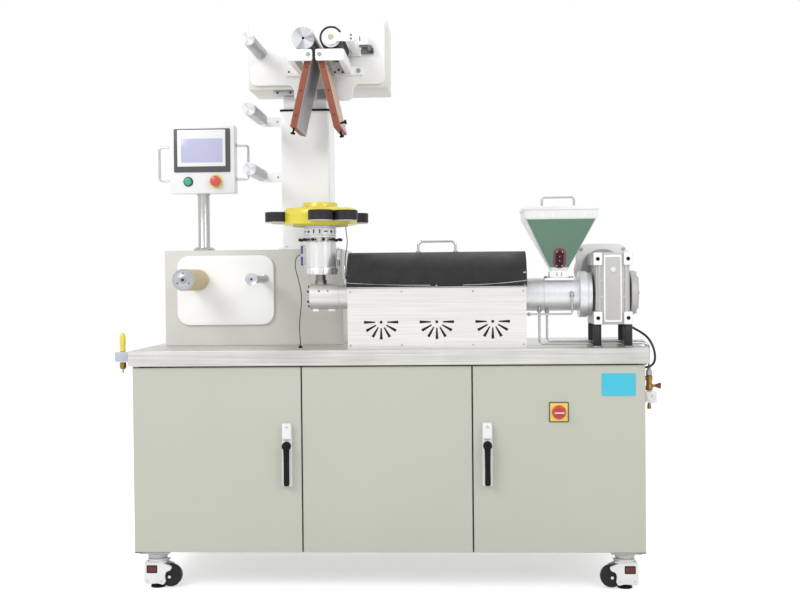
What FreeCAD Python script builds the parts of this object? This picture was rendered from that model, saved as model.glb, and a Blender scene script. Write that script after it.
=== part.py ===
# Lab-scale blown film line: extruder, die, air ring, haul-off tower and winder
# on one castored cabinet. Millimetres, +Z up, the operator stands on the -Y side.
# The origin is on the floor, under the middle of the whole machine.
import FreeCAD
import Part
import math
import os
import re

import Sketcher
from FreeCAD import Placement, Rotation, Vector

doc = FreeCAD.newDocument("BlownFilmLine")

# Driving sizes

SIZES = {
    # cabinet
    "front_y": -353.8, "cab_width": 1720, "cab_depth": 740, "cab_low": 128, "skin": 2,
    "frame_bar": 40, "door_thick": 20, "door_gap": 5, "pivot_inset": 8, "pivot_deep": 12,
    "pivot_radius": 4, "pin_play": 0.3, "pivot_plate": 3, "pivot_width": 22,
    "worktop_top": 815, "worktop_lip": 52, "worktop_over": 12, "worktop_skin": 2.5,
    # door furniture
    "lock_width": 33, "lock_up": 230, "lock_tall": 212, "lock_thick": 14, "lock_inset": 49,
    "lock_head": 54, "lock_head_thick": 22, "boss_up": 137, "boss_radius": 15, "boss_out": 36,
    "lever_width": 20, "lever_long": 133, "lever_thick": 11, "lever_play": 2,
    "switch_side": 286, "switch_up": 475, "switch_radius": 23, "switch_out": 31, "grip_width": 9,
    "grip_deep": 14, "grip_inset": 2, "knob_play": 3.3,
    # castors
    "castor_side": 62, "castor_inset": 70, "plate_side": 100, "plate_thick": 6, "swivel_radius": 34,
    "swivel_play": 0.3, "house_back": 42, "house_front": 54, "house_wide": 62, "house_low": 11,
    "house_top": 92, "window_wide": 40, "window_deep": 8, "window_tall": 28, "window_low": 52,
    "pad_radius": 25, "pad_thick": 8, "screw_radius": 5, "wheel_radius": 37.5, "wheel_wide": 30,
    "wheel_offset": 46, "wheel_lift": 2, "wheel_play": 2, "axle_radius": 5,
    # winder
    "winder_side": 35, "winder_width": 650, "winder_tall": 347, "winder_deep": 405, "winder_front": 330,
    "wplate_left": 101, "wplate_up": 201, "wplate_width": 354, "wplate_tall": 252, "wplate_thick": 12,
    "wplate_corner": 44, "shaft_left": 98, "shaft_up": 38.5, "shaft_radius": 10, "core_radius": 38,
    "core_wall": 8, "core_long": 240, "core_out": 246, "cap_thick": 6, "cap_hub": 12,
    "guide_right": 142.5, "guide_out": 278, "guide_disc": 21.5, "guide_body": 14,
    "guide_disc_thick": 6, "guide_stub": 8, "bore_play": 0.3,
    # operator panel
    "post_left": 190, "post_back": 52, "post_radius": 21.5, "post_tall": 209, "post_flange": 39,
    "flange_thick": 8, "panel_right": 2.5, "panel_back": 20, "panel_width": 239, "panel_tall": 248,
    "panel_deep": 60, "bezel_width": 207, "bezel_tall": 158.5, "bezel_up": 77.5, "bezel_thick": 4,
    "grab_out": 50, "grab_tall": 128, "grab_up": 58, "grab_radius": 4.5,
    "button_up": 43, "start_left": 52, "start_radius": 15, "start_thick": 5, "stop_right": 50.5,
    "stop_radius": 19.5, "stop_thick": 22, "stem_radius": 8, "stem_deep": 18, "press_depth": 5,
    "press_play": 1,
    # tower and head
    "tower_right": 192, "tower_back": 16, "tower_width": 176, "tower_deep": 195, "tower_tall": 503,
    "tower_foot": 12, "foot_thick": 8, "collar_over": 4, "collar_tall": 7, "neck_inset": 8,
    "neck_tall": 72, "head_right": 54.5, "head_ahead": 42, "head_width": 503, "head_tall": 241,
    "head_deep": 226, "hplate_left": 1.5, "hplate_width": 487, "hplate_up": 13, "hplate_down": 1.5,
    "hplate_thick": 12, "hplate_corner": 27, "tab_drop": 57, "tab_width": 213, "tab_fillet": 18,
    # film line
    "past": 1, "film_right": 75, "film_out": 159, "roll_long": 260, "idler_radius": 22, "idler_stub": 7,
    "idler_left": 148.5, "head_idler_up": 1.5, "upper_idler_down": 36, "lower_idler_down": 238,
    "idler_bar": 34, "idler_bar_thick": 14, "nip_down": 114, "nip_radius": 39, "nip_gap": 16,
    "drive_left": 37, "nip_stub": 12, "rubber_stub": 10, "yoke_half": 14, "yoke_thick": 10,
    "yoke_right": 116, "yoke_side": 13, "hub_disc": 25, "rail_wide": 12, "rail_deep": 16,
    "rail_start": 81, "rail_end": 182, "carriage": 36, "cylinder_right": 147, "cylinder_side": 36,
    "cylinder_up": 21.5, "nip_bar_down": 78.5, "nip_bar_tall": 38, "nip_bar_thick": 12,
    "bar_reach_left": 89, "bar_reach_right": 102, "nip_bar_gap": 11, "nip_beam": 22,
    "base_reach_left": 133, "base_reach_right": 142, "base_down": 81.5, "base_tall": 31,
    "board_pivot_half": 19, "board_pivot_down": 57.5, "board_angle": 12.9, "board_thick": 24,
    "board_above": 9, "board_below": 246, "board_wide": 250, "board_rod": 5, "knob_radius": 8,
    "knob_long": 7, "knob_stem": 3.5, "knob_out": 22, "knob_front": 40, "knob_side": 12, "knob_up": 10,
    # die and air ring
    "barrel_up": 178, "die_up": 75, "die_neck": 16, "die_sink": 2, "die_base_radius": 57,
    "die_base_tall": 25, "die_radius": 55, "die_body_tall": 90, "die_waist": 47, "waist_tall": 12,
    "die_head_tall": 41, "die_lip": 31, "die_lip_tall": 26, "bolt_radius": 3.5, "bolt_head": 5.5,
    "bolt_reach": 77, "bolt_head_long": 8, "bolt_count": 12,
    "ring_radius": 128, "ring_tall": 58, "ring_bore": 42, "lip_radius": 60, "lip_tall": 19,
    "under_radius": 97, "under_thick": 4, "ring_step": 10, "blower_radius": 42.5, "blower_reach": 148,
    "blower_up": 11, "blower_tall": 33.5, "blower_pair": 17, "blower_first": 174, "blower_play": 0.2,
    "intake_radius": 27, "intake_deep": 4,
    "adaptor_radius": 44.5, "adaptor_reach": 38, "seam_right": 65, "seam_wide": 2, "seam_deep": 1.5,
    "end_bolt": 4, "end_bolt_circle": 34, "end_bolt_long": 7, "end_bolts": 6,
    # extruder
    "guard_start": 102, "guard_long": 602, "guard_half": 115, "guard_tall": 205, "guard_skin": 2,
    "notch_play": 3, "vent_start": 113.4, "vent_pitch": 187.7, "vent_up": 90.6, "vent_inner": 20,
    "vent_outer": 58, "vent_root": 2.2, "vent_tip": 5, "vent_hub": 5, "petals": 7,
    "hinge_out": 7, "hinge_radius": 3.5, "hinge_pin": 2, "hinge_long": 40, "hinge_leaf": 2.5,
    "hinge_inset": 90, "lid_play": 0.8, "lid_skin": 2, "lid_tall": 123,
    "lid_handle_wide": 128, "lid_handle_tall": 42, "rod_radius": 4.5,
    "rod_bend": 14, "barrel_radius": 34, "heater_radius": 48, "heater_long": 150,
    "heaters": 3, "feed_radius": 56, "feed_seam_right": 63.5, "feed_long": 184, "ring_long": 42,
    "ring_side": 79, "saddle_up": 48, "throat_radius": 20,
    "hopper_right": 117, "neck_up": 35, "hopper_tall": 176, "band_tall": 34, "hopper_top_side": 243,
    "hopper_bot_side": 58, "hopper_wall": 2, "foot_side": 99, "hopper_foot": 8,
    "hlid_side": 252, "hlid_thick": 2.5, "hlid_lip": 9, "hlid_play": 1.5, "hlid_handle_wide": 110,
    "hlid_handle_tall": 44,
    "gear_width": 131, "gear_deep": 190, "gear_up": 76, "gear_tall": 243, "gear_inset": 9,
    "ear_tall": 44, "ear_wide": 30, "ear_hole": 5, "ear_hole_in": 8, "cap_radius": 75, "cap_long": 27,
    "cap_up": 4, "cover_wide": 56, "cover_tall": 222, "cover_thick": 4,
    "motor_right": 54, "motor_down": 58, "motor_flange": 90, "motor_flange_thick": 14,
    "motor_radius": 69, "motor_long": 215, "cowl_radius": 76, "cowl_long": 62, "fin_count": 20,
    "fin_tall": 5, "fin_wide": 3, "leg_radius": 14.2, "leg_half": 52, "leg_back_half": 75,
    # pipes and cable
    "pipe_radius": 4, "pipe_bend": 16, "pipe_a_right": 48, "pipe_b_right": 75, "pipe_a_ahead": 39,
    "pipe_b_ahead": 23, "pipe_a_up": 10, "pipe_b_up": 18, "pipe_b_side": 21, "pipe_b_down": 65,
    "join_play": 0.3, "drain_left": 27, "drain_up": 4, "drain_drop": 70, "drain_radius": 3,
    "drain_out": 9, "drain_bend": 6,
    "lead_radius": 4, "gland_right": 24, "gland_behind": 155, "gland_drop": 92, "gland_radius": 9,
    "gland_tall": 36, "inlet_y": 76, "inlet_down": 70, "inlet_radius": 8, "inlet_long": 9,
    "wire_radius": 1.5, "probe_left": 16.5, "probe_ahead": 4, "probe_tall": 105, "probe_radius": 4,
    "probe_nut": 8, "probe_nut_tall": 16, "terminal_side": 14, "terminal_tall": 62, "terminal_out": 14,
    "bush_left": 73, "bush_ahead": 7, "bush_radius": 6, "bush_tall": 8,
    # side fittings
    "valve_side": 29, "valve_down": 71, "valve_tall": 143, "valve_tube": 7, "valve_body": 12,
    "valve_body_up": 62, "valve_body_tall": 53, "valve_nut_radius": 9, "valve_nut_tall": 18,
    "valve_stem": 4, "lever_up": 17, "lever_reach": 26, "lever_half": 11, "lever_plate": 7,
    "gauge_radius": 20, "gauge_up": 41, "gauge_thick": 22, "gauge_over": 6,
    "tool_side": 44, "tool_y": 43, "tool_down": 4, "clip_tall": 34, "clip_reach": 69, "clip_deep": 24,
    "nut_drop": 23, "tip_drop": 16, "tool_rise": 65, "tool_nut": 11, "tool_radius": 10.5,
    "tool_tip": 4, "tool_end": 9,
}

# Places worked out from the sizes
PLACES = {
    "lock_low": "cab_low + lock_up", "boss_z": "lock_low + boss_up",
    "switch_x": "cab_width / 2 - switch_side", "switch_z": "cab_low + switch_up",
    "castor_x": "cab_width / 2 - castor_side",
    # winder and panel
    "winder_x": "winder_side + winder_width / 2 - cab_width / 2", "winder_top": "worktop_top + winder_tall",
    "wplate_x": "winder_x - wplate_left", "wplate_z": "worktop_top + wplate_up",
    "shaft_x": "wplate_x - shaft_left", "shaft_z": "wplate_z + shaft_up",
    "core_front": "winder_front - wplate_thick - core_out", "guide_x": "wplate_x + guide_right",
    "guide_z": "shaft_z", "guide_front": "winder_front - wplate_thick - guide_out",
    "post_x": "winder_x - post_left", "post_y": "winder_front + post_back",
    "panel_x": "post_x + panel_right", "panel_low": "winder_top + post_tall",
    "panel_front": "winder_front + panel_back", "bezel_low": "panel_low + bezel_up",
    "grab_low": "panel_low + grab_up", "button_z": "panel_low + button_up",
    "start_x": "panel_x - start_left", "stop_x": "panel_x + stop_right",
    # tower, head and film line
    "tower_x": "winder_x + tower_right", "tower_front": "winder_front + tower_back",
    "tower_top": "winder_top + tower_tall", "head_x": "tower_x + head_right",
    "head_front": "tower_front - head_ahead", "head_low": "tower_top + neck_tall",
    "head_top": "head_low + head_tall", "hplate_x": "head_x - hplate_left",
    "hplate_low": "head_low + hplate_up", "hplate_top": "head_top - hplate_down",
    "tab_low": "hplate_low - tab_drop", "film_x": "tower_x + film_right",
    "film_y": "head_front - film_out", "idler_x": "tower_x - idler_left",
    "upper_idler_z": "tower_top - upper_idler_down", "lower_idler_z": "tower_top - lower_idler_down",
    "nip_z": "hplate_top - nip_down", "head_idler_z": "nip_z + head_idler_up",
    "drive_x": "film_x - drive_left", "yoke_side_x": "film_x + yoke_right",
    "rail_left": "film_x + rail_start", "rail_right": "film_x + rail_end",
    "cylinder_x": "film_x + cylinder_right", "cylinder_low": "nip_z + cylinder_up",
    "nip_bar_low": "nip_z - nip_bar_down", "nip_bar_left": "film_x - bar_reach_left",
    "nip_bar_right": "film_x + bar_reach_right", "base_left": "film_x - base_reach_left",
    "base_right": "film_x + base_reach_right", "base_low": "nip_z - base_down",
    "board_pivot_z": "nip_z - board_pivot_down",
    # die and air ring
    "barrel_z": "worktop_top + barrel_up", "die_low": "barrel_z + die_up",
    "die_base_top": "die_low + die_base_tall", "die_body_top": "die_base_top + die_body_tall",
    "die_waist_top": "die_body_top + waist_tall", "die_top": "die_waist_top + die_head_tall",
    "bolt_z": "die_body_top + waist_tall / 2", "die_lip_top": "die_top + die_lip_tall",
    "ring_low": "die_top + under_thick", "ring_top": "ring_low + ring_tall", "lip_top": "ring_top + lip_tall",
    "blower_low": "ring_low + blower_up", "adaptor_left": "film_x - adaptor_reach",
    "adaptor_seam": "film_x + seam_right",
    # extruder and drive
    "guard_left": "film_x + guard_start", "guard_right": "guard_left + guard_long",
    "guard_top": "worktop_top + guard_tall", "guard_mid": "guard_left + guard_long / 2",
    "vent_first": "guard_left + vent_start", "vent_z": "worktop_top + vent_up",
    "lid_top": "guard_top + lid_tall", "feed_seam": "guard_right + feed_seam_right",
    "ring_left": "guard_right + feed_long", "ring_right": "ring_left + ring_long",
    "saddle_z": "barrel_z + saddle_up", "hopper_x": "guard_right + hopper_right",
    "hopper_low": "saddle_z + neck_up", "band_low": "hopper_low + hopper_tall",
    "band_top": "band_low + band_tall", "gear_left": "ring_right", "gear_right": "gear_left + gear_width",
    "gear_mid": "gear_left + gear_width / 2", "gear_low": "worktop_top + gear_up",
    "gear_top": "gear_low + gear_tall", "motor_x": "gear_left + motor_right",
    "motor_z": "gear_top - motor_down", "gland_low": "motor_z - gland_drop",
    # pipes, cable and side fittings
    "pipe_a_x": "guard_right + pipe_a_right", "pipe_b_x": "guard_right + pipe_b_right",
    "pipe_a_y": "film_y - pipe_a_ahead", "pipe_b_y": "film_y - pipe_b_ahead",
    "pipe_low": "worktop_top + pipe_a_up", "pipe_high": "worktop_top + pipe_b_up",
    "pipe_b_out": "cab_width / 2 + pipe_b_side", "pipe_b_end": "worktop_top - pipe_b_down",
    "drain_x": "ring_left - drain_left", "drain_top": "barrel_z + drain_up",
    "drain_z": "drain_top - drain_drop", "inlet_z": "worktop_top - inlet_down",
    "probe_x": "guard_left - probe_left", "probe_y": "film_y - probe_ahead",
    "probe_top": "barrel_z + probe_tall", "bush_x": "film_x - bush_left", "bush_y": "film_y - bush_ahead",
    "valve_x": "cab_width / 2 + valve_side", "valve_top": "worktop_top - valve_down",
    "valve_low": "valve_top - valve_tall", "valve_body_low": "valve_low + valve_body_up",
    "valve_body_top": "valve_body_low + valve_body_tall", "lever_z": "valve_body_low + lever_up",
    "gauge_z": "valve_low + gauge_up", "tool_x": "-cab_width / 2 - tool_side",
    "clip_left": "-cab_width / 2 - clip_reach", "clip_top": "worktop_top - tool_down",
    "clip_low": "clip_top - clip_tall", "tool_nut_low": "clip_low - nut_drop",
    "tool_low": "tool_nut_low - tip_drop", "tool_top": "clip_top + tool_rise",
}

sheet = doc.addObject("Spreadsheet::Sheet", "Sizes")
for row, (alias, number) in enumerate(SIZES.items(), start=1):
    sheet.set("A" + str(row), alias)
    sheet.set("B" + str(row), str(number))
    sheet.setAlias("B" + str(row), alias)
doc.recompute()


WORD = re.compile(r"[a-z][a-z_]*")


def cells(text):
    """An expression in size and place names, as the document writes it."""
    def named(word):
        word = word.group()
        if word in PLACES:
            return "(" + cells(PLACES[word]) + ")"
        return "Sizes." + word if word in SIZES else word
    return WORD.sub(named, str(text))


def worth(text):
    """The number that an expression in size and place names gives."""
    return float(sheet.evalExpression(cells(text)))


class Values:
    """Reads a size or a place by its name."""

    def __getattr__(self, name):
        return worth(name)


val = Values()


def bind(thing, prop, text):
    thing.setExpression(prop, cells(text))


def seat(thing, place):
    """Binds an object's place to three expressions."""
    for axis, text in zip("xyz", place):
        bind(thing, "Placement.Base." + axis, text)


# Y of a depth measured back from the door faces
def back(depth):
    return "(front_y + " + depth + ")"


def box(name, size, place):
    piece = doc.addObject("Part::Box", name)
    for prop, text in zip(("Length", "Width", "Height"), size):
        bind(piece, prop, text)
    seat(piece, place)
    return piece


AXES = {"x": Rotation(Vector(0, 1, 0), 90), "y": Rotation(Vector(1, 0, 0), -90), "z": Rotation()}


def cylinder(name, radius, length, place, axis="z"):
    """A cylinder from its start point along +X, +Y or +Z."""
    piece = doc.addObject("Part::Cylinder", name)
    piece.Placement = Placement(Vector(), AXES[axis])
    bind(piece, "Radius", radius)
    bind(piece, "Height", length)
    seat(piece, place)
    return piece


def fuse(name, pieces):
    whole = doc.addObject("Part::MultiFuse", name)
    whole.Shapes = pieces
    whole.Refine = True
    return whole


def cut(name, base, tools):
    whole = doc.addObject("Part::Cut", name)
    whole.Base = base
    whole.Tool = tools[0] if len(tools) == 1 else fuse(name + "_tools", tools)
    whole.Refine = True
    return whole


def group(name, pieces):
    whole = doc.addObject("Part::Compound", name)
    whole.Links = pieces
    return whole


def feature(name, shape):
    piece = doc.addObject("Part::Feature", name)
    piece.Shape = shape
    return piece


NODES = []


def node(piece, label):
    """Registers a finished sub-part; its label names its file."""
    piece.Label = label
    NODES.append(piece)
    return piece


# PartDesign helpers

def body(name, place=("0", "0", "0")):
    piece = doc.addObject("PartDesign::Body", name)
    seat(piece, place)
    return piece


def sketch(owner, name, plane, offset=None):
    """A sketch on one of the body's origin planes, moved along the plane's normal."""
    drawing = owner.newObject("Sketcher::SketchObject", name)
    face = [f for f in owner.Origin.OriginFeatures if f.Role == plane][0]
    drawing.AttachmentSupport = (face, [""])
    drawing.MapMode = "FlatFace"
    if offset is not None:
        bind(drawing, "AttachmentOffset.Base.z", offset)
    return drawing


def hold(drawing, line, end, corner):
    """Holds one end of a line at two expressions from the sketch's origin."""
    for kind, text in zip(("DistanceX", "DistanceY"), corner):
        number = drawing.addConstraint(Sketcher.Constraint(kind, -1, 1, line, end, worth(text)))
        drawing.setExpression("Constraints[" + str(number) + "]", cells(text))


def outline(drawing, corners):
    """A closed outline of straight lines, each corner held by two expressions."""
    points = [Vector(worth(x), worth(y), 0) for x, y in corners]
    first = drawing.GeometryCount
    count = len(points)
    for i in range(count):
        drawing.addGeometry(Part.LineSegment(points[i], points[(i + 1) % count]), False)
    for i in range(count):
        drawing.addConstraint(Sketcher.Constraint("Coincident", first + i, 2, first + (i + 1) % count, 1))
    for i, corner in enumerate(corners):
        hold(drawing, first + i, 1, corner)
    return drawing


def rectangle(drawing, left, right, low, high):
    return outline(drawing, [(left, low), (right, low), (right, high), (left, high)])


def circle(drawing, radius, across, up):
    """A circle whose radius and centre are expressions."""
    centre = Vector(worth(across), worth(up), 0)
    ring = drawing.addGeometry(Part.Circle(centre, Vector(0, 0, 1), worth(radius)), False)
    number = drawing.addConstraint(Sketcher.Constraint("Radius", ring, worth(radius)))
    drawing.setExpression("Constraints[" + str(number) + "]", cells(radius))
    hold(drawing, ring, 3, (across, up))
    return drawing


def pad(owner, drawing, length, away=False, name="Pad"):
    block = owner.newObject("PartDesign::Pad", name)
    block.Profile = drawing
    block.Reversed = away
    bind(block, "Length", length)
    drawing.Visibility = False
    return block


def pocket(owner, drawing, length, away=False, name="Pocket"):
    hollow = owner.newObject("PartDesign::Pocket", name)
    hollow.Profile = drawing
    hollow.Reversed = away
    bind(hollow, "Length", length)
    return hollow


def revolve(owner, drawing, axis):
    turned = owner.newObject("PartDesign::Revolution", "Revolution")
    turned.Profile = drawing
    turned.ReferenceAxis = (drawing, [axis])
    turned.Angle = 360
    return turned


def edges_along(shape, direction, test=None):
    """Names of the straight edges that run along a direction."""
    names = []
    for i, edge in enumerate(shape.Edges, start=1):
        if edge.Curve.TypeId != "Part::GeomLine":
            continue
        if edge.tangentAt(edge.FirstParameter).cross(direction).Length > 1e-6:
            continue
        if test is None or test(edge.CenterOfMass):
            names.append("Edge" + str(i))
    return names


def fillet(owner, base, names, radius, kind="Fillet"):
    rounded = owner.newObject("PartDesign::" + kind, kind)
    rounded.Base = (base, names)
    bind(rounded, "Radius" if kind == "Fillet" else "Size", radius)
    return rounded


def tube(points, radius, bends):
    """A round tube along straight runs joined by tangent arcs; bends holds one radius a corner."""
    points = [Vector(*p) for p in points]
    edges = []
    here = points[0]
    for i in range(1, len(points) - 1):
        corner = points[i]
        come = (corner - points[i - 1]).normalize()
        leave = (points[i + 1] - corner).normalize()
        turn = come.getAngle(leave)
        reach = bends[i - 1] * math.tan(turn / 2)
        start, end = corner - come * reach, corner + leave * reach
        inward = (leave - come).normalize()
        middle = corner + inward * (bends[i - 1] / math.cos(turn / 2) - bends[i - 1])
        edges.append(Part.LineSegment(here, start).toShape())
        edges.append(Part.Arc(start, middle, end).toShape())
        here = end
    edges.append(Part.LineSegment(here, points[-1]).toShape())
    path = Part.Wire(edges)
    begin = (points[1] - points[0]).normalize()
    section = Part.Wire([Part.Circle(points[0], begin, radius).toShape()])
    return path.makePipeShell([section], True, True)


# Cabinet

THIRD = "(cab_width / 3)"
TOP_UNDER = "(worktop_top - worktop_skin)"
DOOR_LOW = "(cab_low + door_gap)"
DOOR_HIGH = "(worktop_top - worktop_lip - door_gap)"
DOOR_TALL = "(worktop_top - worktop_lip - cab_low - 2 * door_gap)"
FRAME_Y = "(front_y + door_thick + door_gap)"


def tray(name, left, width, deep, front_y="front_y"):
    """A folded door skin: a front sheet with four returns, open at the back."""
    whole = box(name + "_block", (width, deep, DOOR_TALL), (left, front_y, DOOR_LOW))
    hollow = box(name + "_hollow", (width + " - 2 * skin", deep, DOOR_TALL + " - 2 * skin"),
                 (left + " + skin", front_y + " + skin", DOOR_LOW + " + skin"))
    return whole, hollow


def pivot_x(side):
    return "(" + str(side) + " * (cab_width / 2 - pivot_inset))"


def make_cabinet():
    tall = TOP_UNDER + " - cab_low"
    block = box("frame_block", ("cab_width", "frame_bar", tall), ("-cab_width / 2", FRAME_Y, "cab_low"))
    bay_tall = "(worktop_top - worktop_lip - cab_low - 2 * frame_bar + door_gap)"
    bays = []
    lefts = ("-cab_width / 2 + frame_bar", "-" + THIRD + " / 2 + frame_bar / 2",
             THIRD + " / 2 + frame_bar / 2")
    for i, left in enumerate(lefts):
        wide = THIRD + " - frame_bar * " + ("1" if i == 1 else "1.5")
        place = (left, FRAME_Y, "cab_low + frame_bar")
        bays.append(box("bay_" + str(i), (wide, "frame_bar", bay_tall), place))
    front = cut("front_grid", block, bays)
    pivots = []
    for side in (-1, 1):
        edge = "-cab_width / 2" if side < 0 else "cab_width / 2 - pivot_width"
        for low in ("cab_low + (door_gap - pivot_plate) / 2", DOOR_HIGH + " + (door_gap - pivot_plate) / 2"):
            tag = str(len(pivots))
            pivots.append(box("pivot_plate_" + tag, ("pivot_width", "door_thick + door_gap - lever_play",
                          "pivot_plate"), (edge, "front_y + lever_play", low)))
        pin_y = "front_y + pivot_deep"
        pivots.append(cylinder("low_pin_" + str(side + 1), "pivot_radius", "door_gap + 3 * skin",
                               (pivot_x(side), pin_y, "cab_low + door_gap / 2")))
        pivots.append(cylinder("high_pin_" + str(side + 1), "pivot_radius", "door_gap + 3 * skin",
                               (pivot_x(side), pin_y, DOOR_HIGH + " - 3 * skin - door_gap / 2")))
    node(fuse("frame", [front] + pivots), "cabinet_frame")

    shell_y = "(" + FRAME_Y + " + frame_bar)"
    deep = "(cab_depth - door_thick - door_gap - frame_bar)"
    whole = box("shell_block", ("cab_width", deep, tall), ("-cab_width / 2", shell_y, "cab_low"))
    inner = box("shell_hollow", ("cab_width - 2 * skin", deep, tall),
                ("-cab_width / 2 + skin", shell_y + " - skin", "cab_low + skin"))
    inlet = cylinder("cable_inlet", "inlet_radius", "inlet_long + skin",
                     ("cab_width / 2 - skin", "front_y + inlet_y", "inlet_z"), "x")
    shell = fuse("shell", [cut("shell_sheet", whole, [inner]), inlet])

    for label, side in (("left_door", -1), ("right_door", 1)):
        left = "-cab_width / 2" if side < 0 else "cab_width / 6 + door_gap / 2"
        block, hollow = tray(label, left, THIRD + " - door_gap / 2", "door_thick")
        holes = []
        for i, low in enumerate((DOOR_LOW, DOOR_HIGH + " - skin")):
            holes.append(cylinder(label + "_bore_" + str(i), "pivot_radius + pin_play", "skin",
                                  (pivot_x(side), "front_y + pivot_deep", low)))
        node(cut(label + "_skin", block, [hollow] + holes), label)
    block, hollow = tray("centre", "-cab_width / 6 + door_gap / 2", THIRD + " - door_gap",
                         "door_thick + door_gap")
    node(cut("centre_skin", block, [hollow]), "centre_panel")

    top = box("top_block", ("cab_width + 2 * worktop_over", "cab_depth + 2 * worktop_over", "worktop_lip"),
              ("-cab_width / 2 - worktop_over", "front_y - worktop_over", "worktop_top - worktop_lip"))
    under = box("top_hollow", ("cab_width + 2 * worktop_over - 2 * worktop_skin",
                "cab_depth + 2 * worktop_over - 2 * worktop_skin", "worktop_lip - worktop_skin"),
                ("-cab_width / 2 - worktop_over + worktop_skin", "front_y - worktop_over + worktop_skin",
                 "worktop_top - worktop_lip"))
    bush = cylinder("lead_bush", "bush_radius", "bush_tall + worktop_skin",
                    ("bush_x", "front_y + bush_y", "worktop_top - worktop_skin"))
    node(fuse("top_and_bush", [cut("top_sheet", top, [under]), bush]), "worktop")
    return shell


# Door locks and the main switch

def lock_x(side):
    return "(" + str(side) + " * (cab_width / 6 + lock_inset))"


def make_locks():
    for label, side in (("left", -1), ("right", 1)):
        x = lock_x(side)
        plate = box(label + "_lock_plate", ("lock_width", "lock_thick", "lock_tall"),
                    (x + " - lock_width / 2", "front_y - lock_thick", "lock_low"))
        head = box(label + "_lock_head", ("lock_width", "lock_head_thick", "lock_head"),
                   (x + " - lock_width / 2", "front_y - lock_head_thick", "lock_low + lock_tall - lock_head"))
        node(fuse(label + "_lock_body", [plate, head]), label + "_lock")
        face = "(front_y - lock_thick - lever_play)"
        boss = cylinder(label + "_boss", "boss_radius", "boss_out - lock_thick - lever_play",
                        (x, "front_y - boss_out", "boss_z"), "y")
        arm = box(label + "_arm", ("lever_width", "lever_thick", "lever_long"),
                  (x + " - lever_width / 2", face + " - lever_thick", "boss_z - lever_long"))
        square = cylinder(label + "_square", "pivot_radius", "lever_play - pin_play",
                          (x, face, "boss_z"), "y")
        node(fuse(label + "_lever_body", [boss, arm, square]), label + "_lever")
    dial = cylinder("dial", "switch_radius", "switch_out - knob_play - grip_deep",
                    ("switch_x", "front_y - switch_out + grip_deep", "switch_z"), "y")
    grip = box("grip", ("2 * switch_radius - 2 * grip_inset", "grip_deep + past", "grip_width"),
               ("switch_x - switch_radius + grip_inset", "front_y - switch_out", "switch_z - grip_width / 2"))
    spindle = cylinder("spindle", "pivot_radius", "knob_play - pin_play",
                       ("switch_x", "front_y - knob_play", "switch_z"), "y")
    node(fuse("switch", [dial, grip, spindle]), "switch_knob")


# Levelling castors

def make_castors(shell):
    plates = []
    corners = (("front_left", -1, 1), ("front_right", 1, 1), ("back_left", -1, -1), ("back_right", 1, -1))
    for label, sx, sy in corners:
        x = "(" + str(sx) + " * castor_x)"
        y = "(front_y + castor_inset)" if sy > 0 else "(front_y + cab_depth - castor_inset)"
        plates.append(box(label + "_plate", ("plate_side", "plate_side", "plate_thick"),
                          (x + " - plate_side / 2", y + " - plate_side / 2", "cab_low - plate_thick")))
        # the housing reaches further on the wheel's side, which faces the middle of the cabinet
        out = "house_back" if sx < 0 else "house_front"
        near = "(cab_low - plate_thick - swivel_play)"
        swivel = cylinder(label + "_swivel", "swivel_radius", near + " - house_top",
                          (x, y, "house_top"))
        house = box(label + "_house", ("house_back + house_front", "house_wide", "house_top - house_low"),
                    (x + " - " + out, y + " - house_wide / 2", "house_low"))
        slot_long = "(wheel_offset + wheel_radius + wheel_play)"
        slot_x = x + " + wheel_offset - wheel_radius - wheel_play" if sx < 0 else x + " - " + slot_long
        slot = box(label + "_slot", ("2 * wheel_radius + 2 * wheel_play", "wheel_wide + 2 * wheel_play",
                   "2 * wheel_radius + 2 * wheel_play"),
                   (slot_x, y + " - wheel_wide / 2 - wheel_play", "wheel_lift - wheel_play"))
        windows = []
        for i, wy in enumerate(("- house_wide / 2", "+ house_wide / 2 - window_deep")):
            wx = x + (" - house_back + window_deep" if sx < 0 else
                      " + house_back - window_deep - window_wide")
            windows.append(box(label + "_window_" + str(i), ("window_wide", "window_deep",
                               "window_tall"), (wx, y + wy, "window_low")))
        wheel_x = x + (" + wheel_offset" if sx < 0 else " - wheel_offset")
        axle = cylinder(label + "_axle", "axle_radius", "house_wide",
                        (wheel_x, y + " - house_wide / 2", "wheel_lift + wheel_radius"), "y")
        pad_foot = cylinder(label + "_pad", "pad_radius", "pad_thick", (x, y, "0"))
        screw = cylinder(label + "_screw", "screw_radius", "house_low", (x, y, "pad_thick / 2"))
        hollow = cut(label + "_hollow", house, [slot] + windows)
        node(fuse(label + "_castor_body", [hollow, swivel, axle, pad_foot, screw]), "castor_" + label)
        rim = cylinder(label + "_rim", "wheel_radius", "wheel_wide",
                       (wheel_x, y + " - wheel_wide / 2", "wheel_lift + wheel_radius"), "y")
        bore = cylinder(label + "_wheel_bore", "axle_radius + pin_play", "wheel_wide",
                        (wheel_x, y + " - wheel_wide / 2", "wheel_lift + wheel_radius"), "y")
        node(cut(label + "_wheel_body", rim, [bore]), "wheel_" + label)
    node(fuse("shell_and_plates", [shell] + plates), "cabinet_shell")


# Winder

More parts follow.
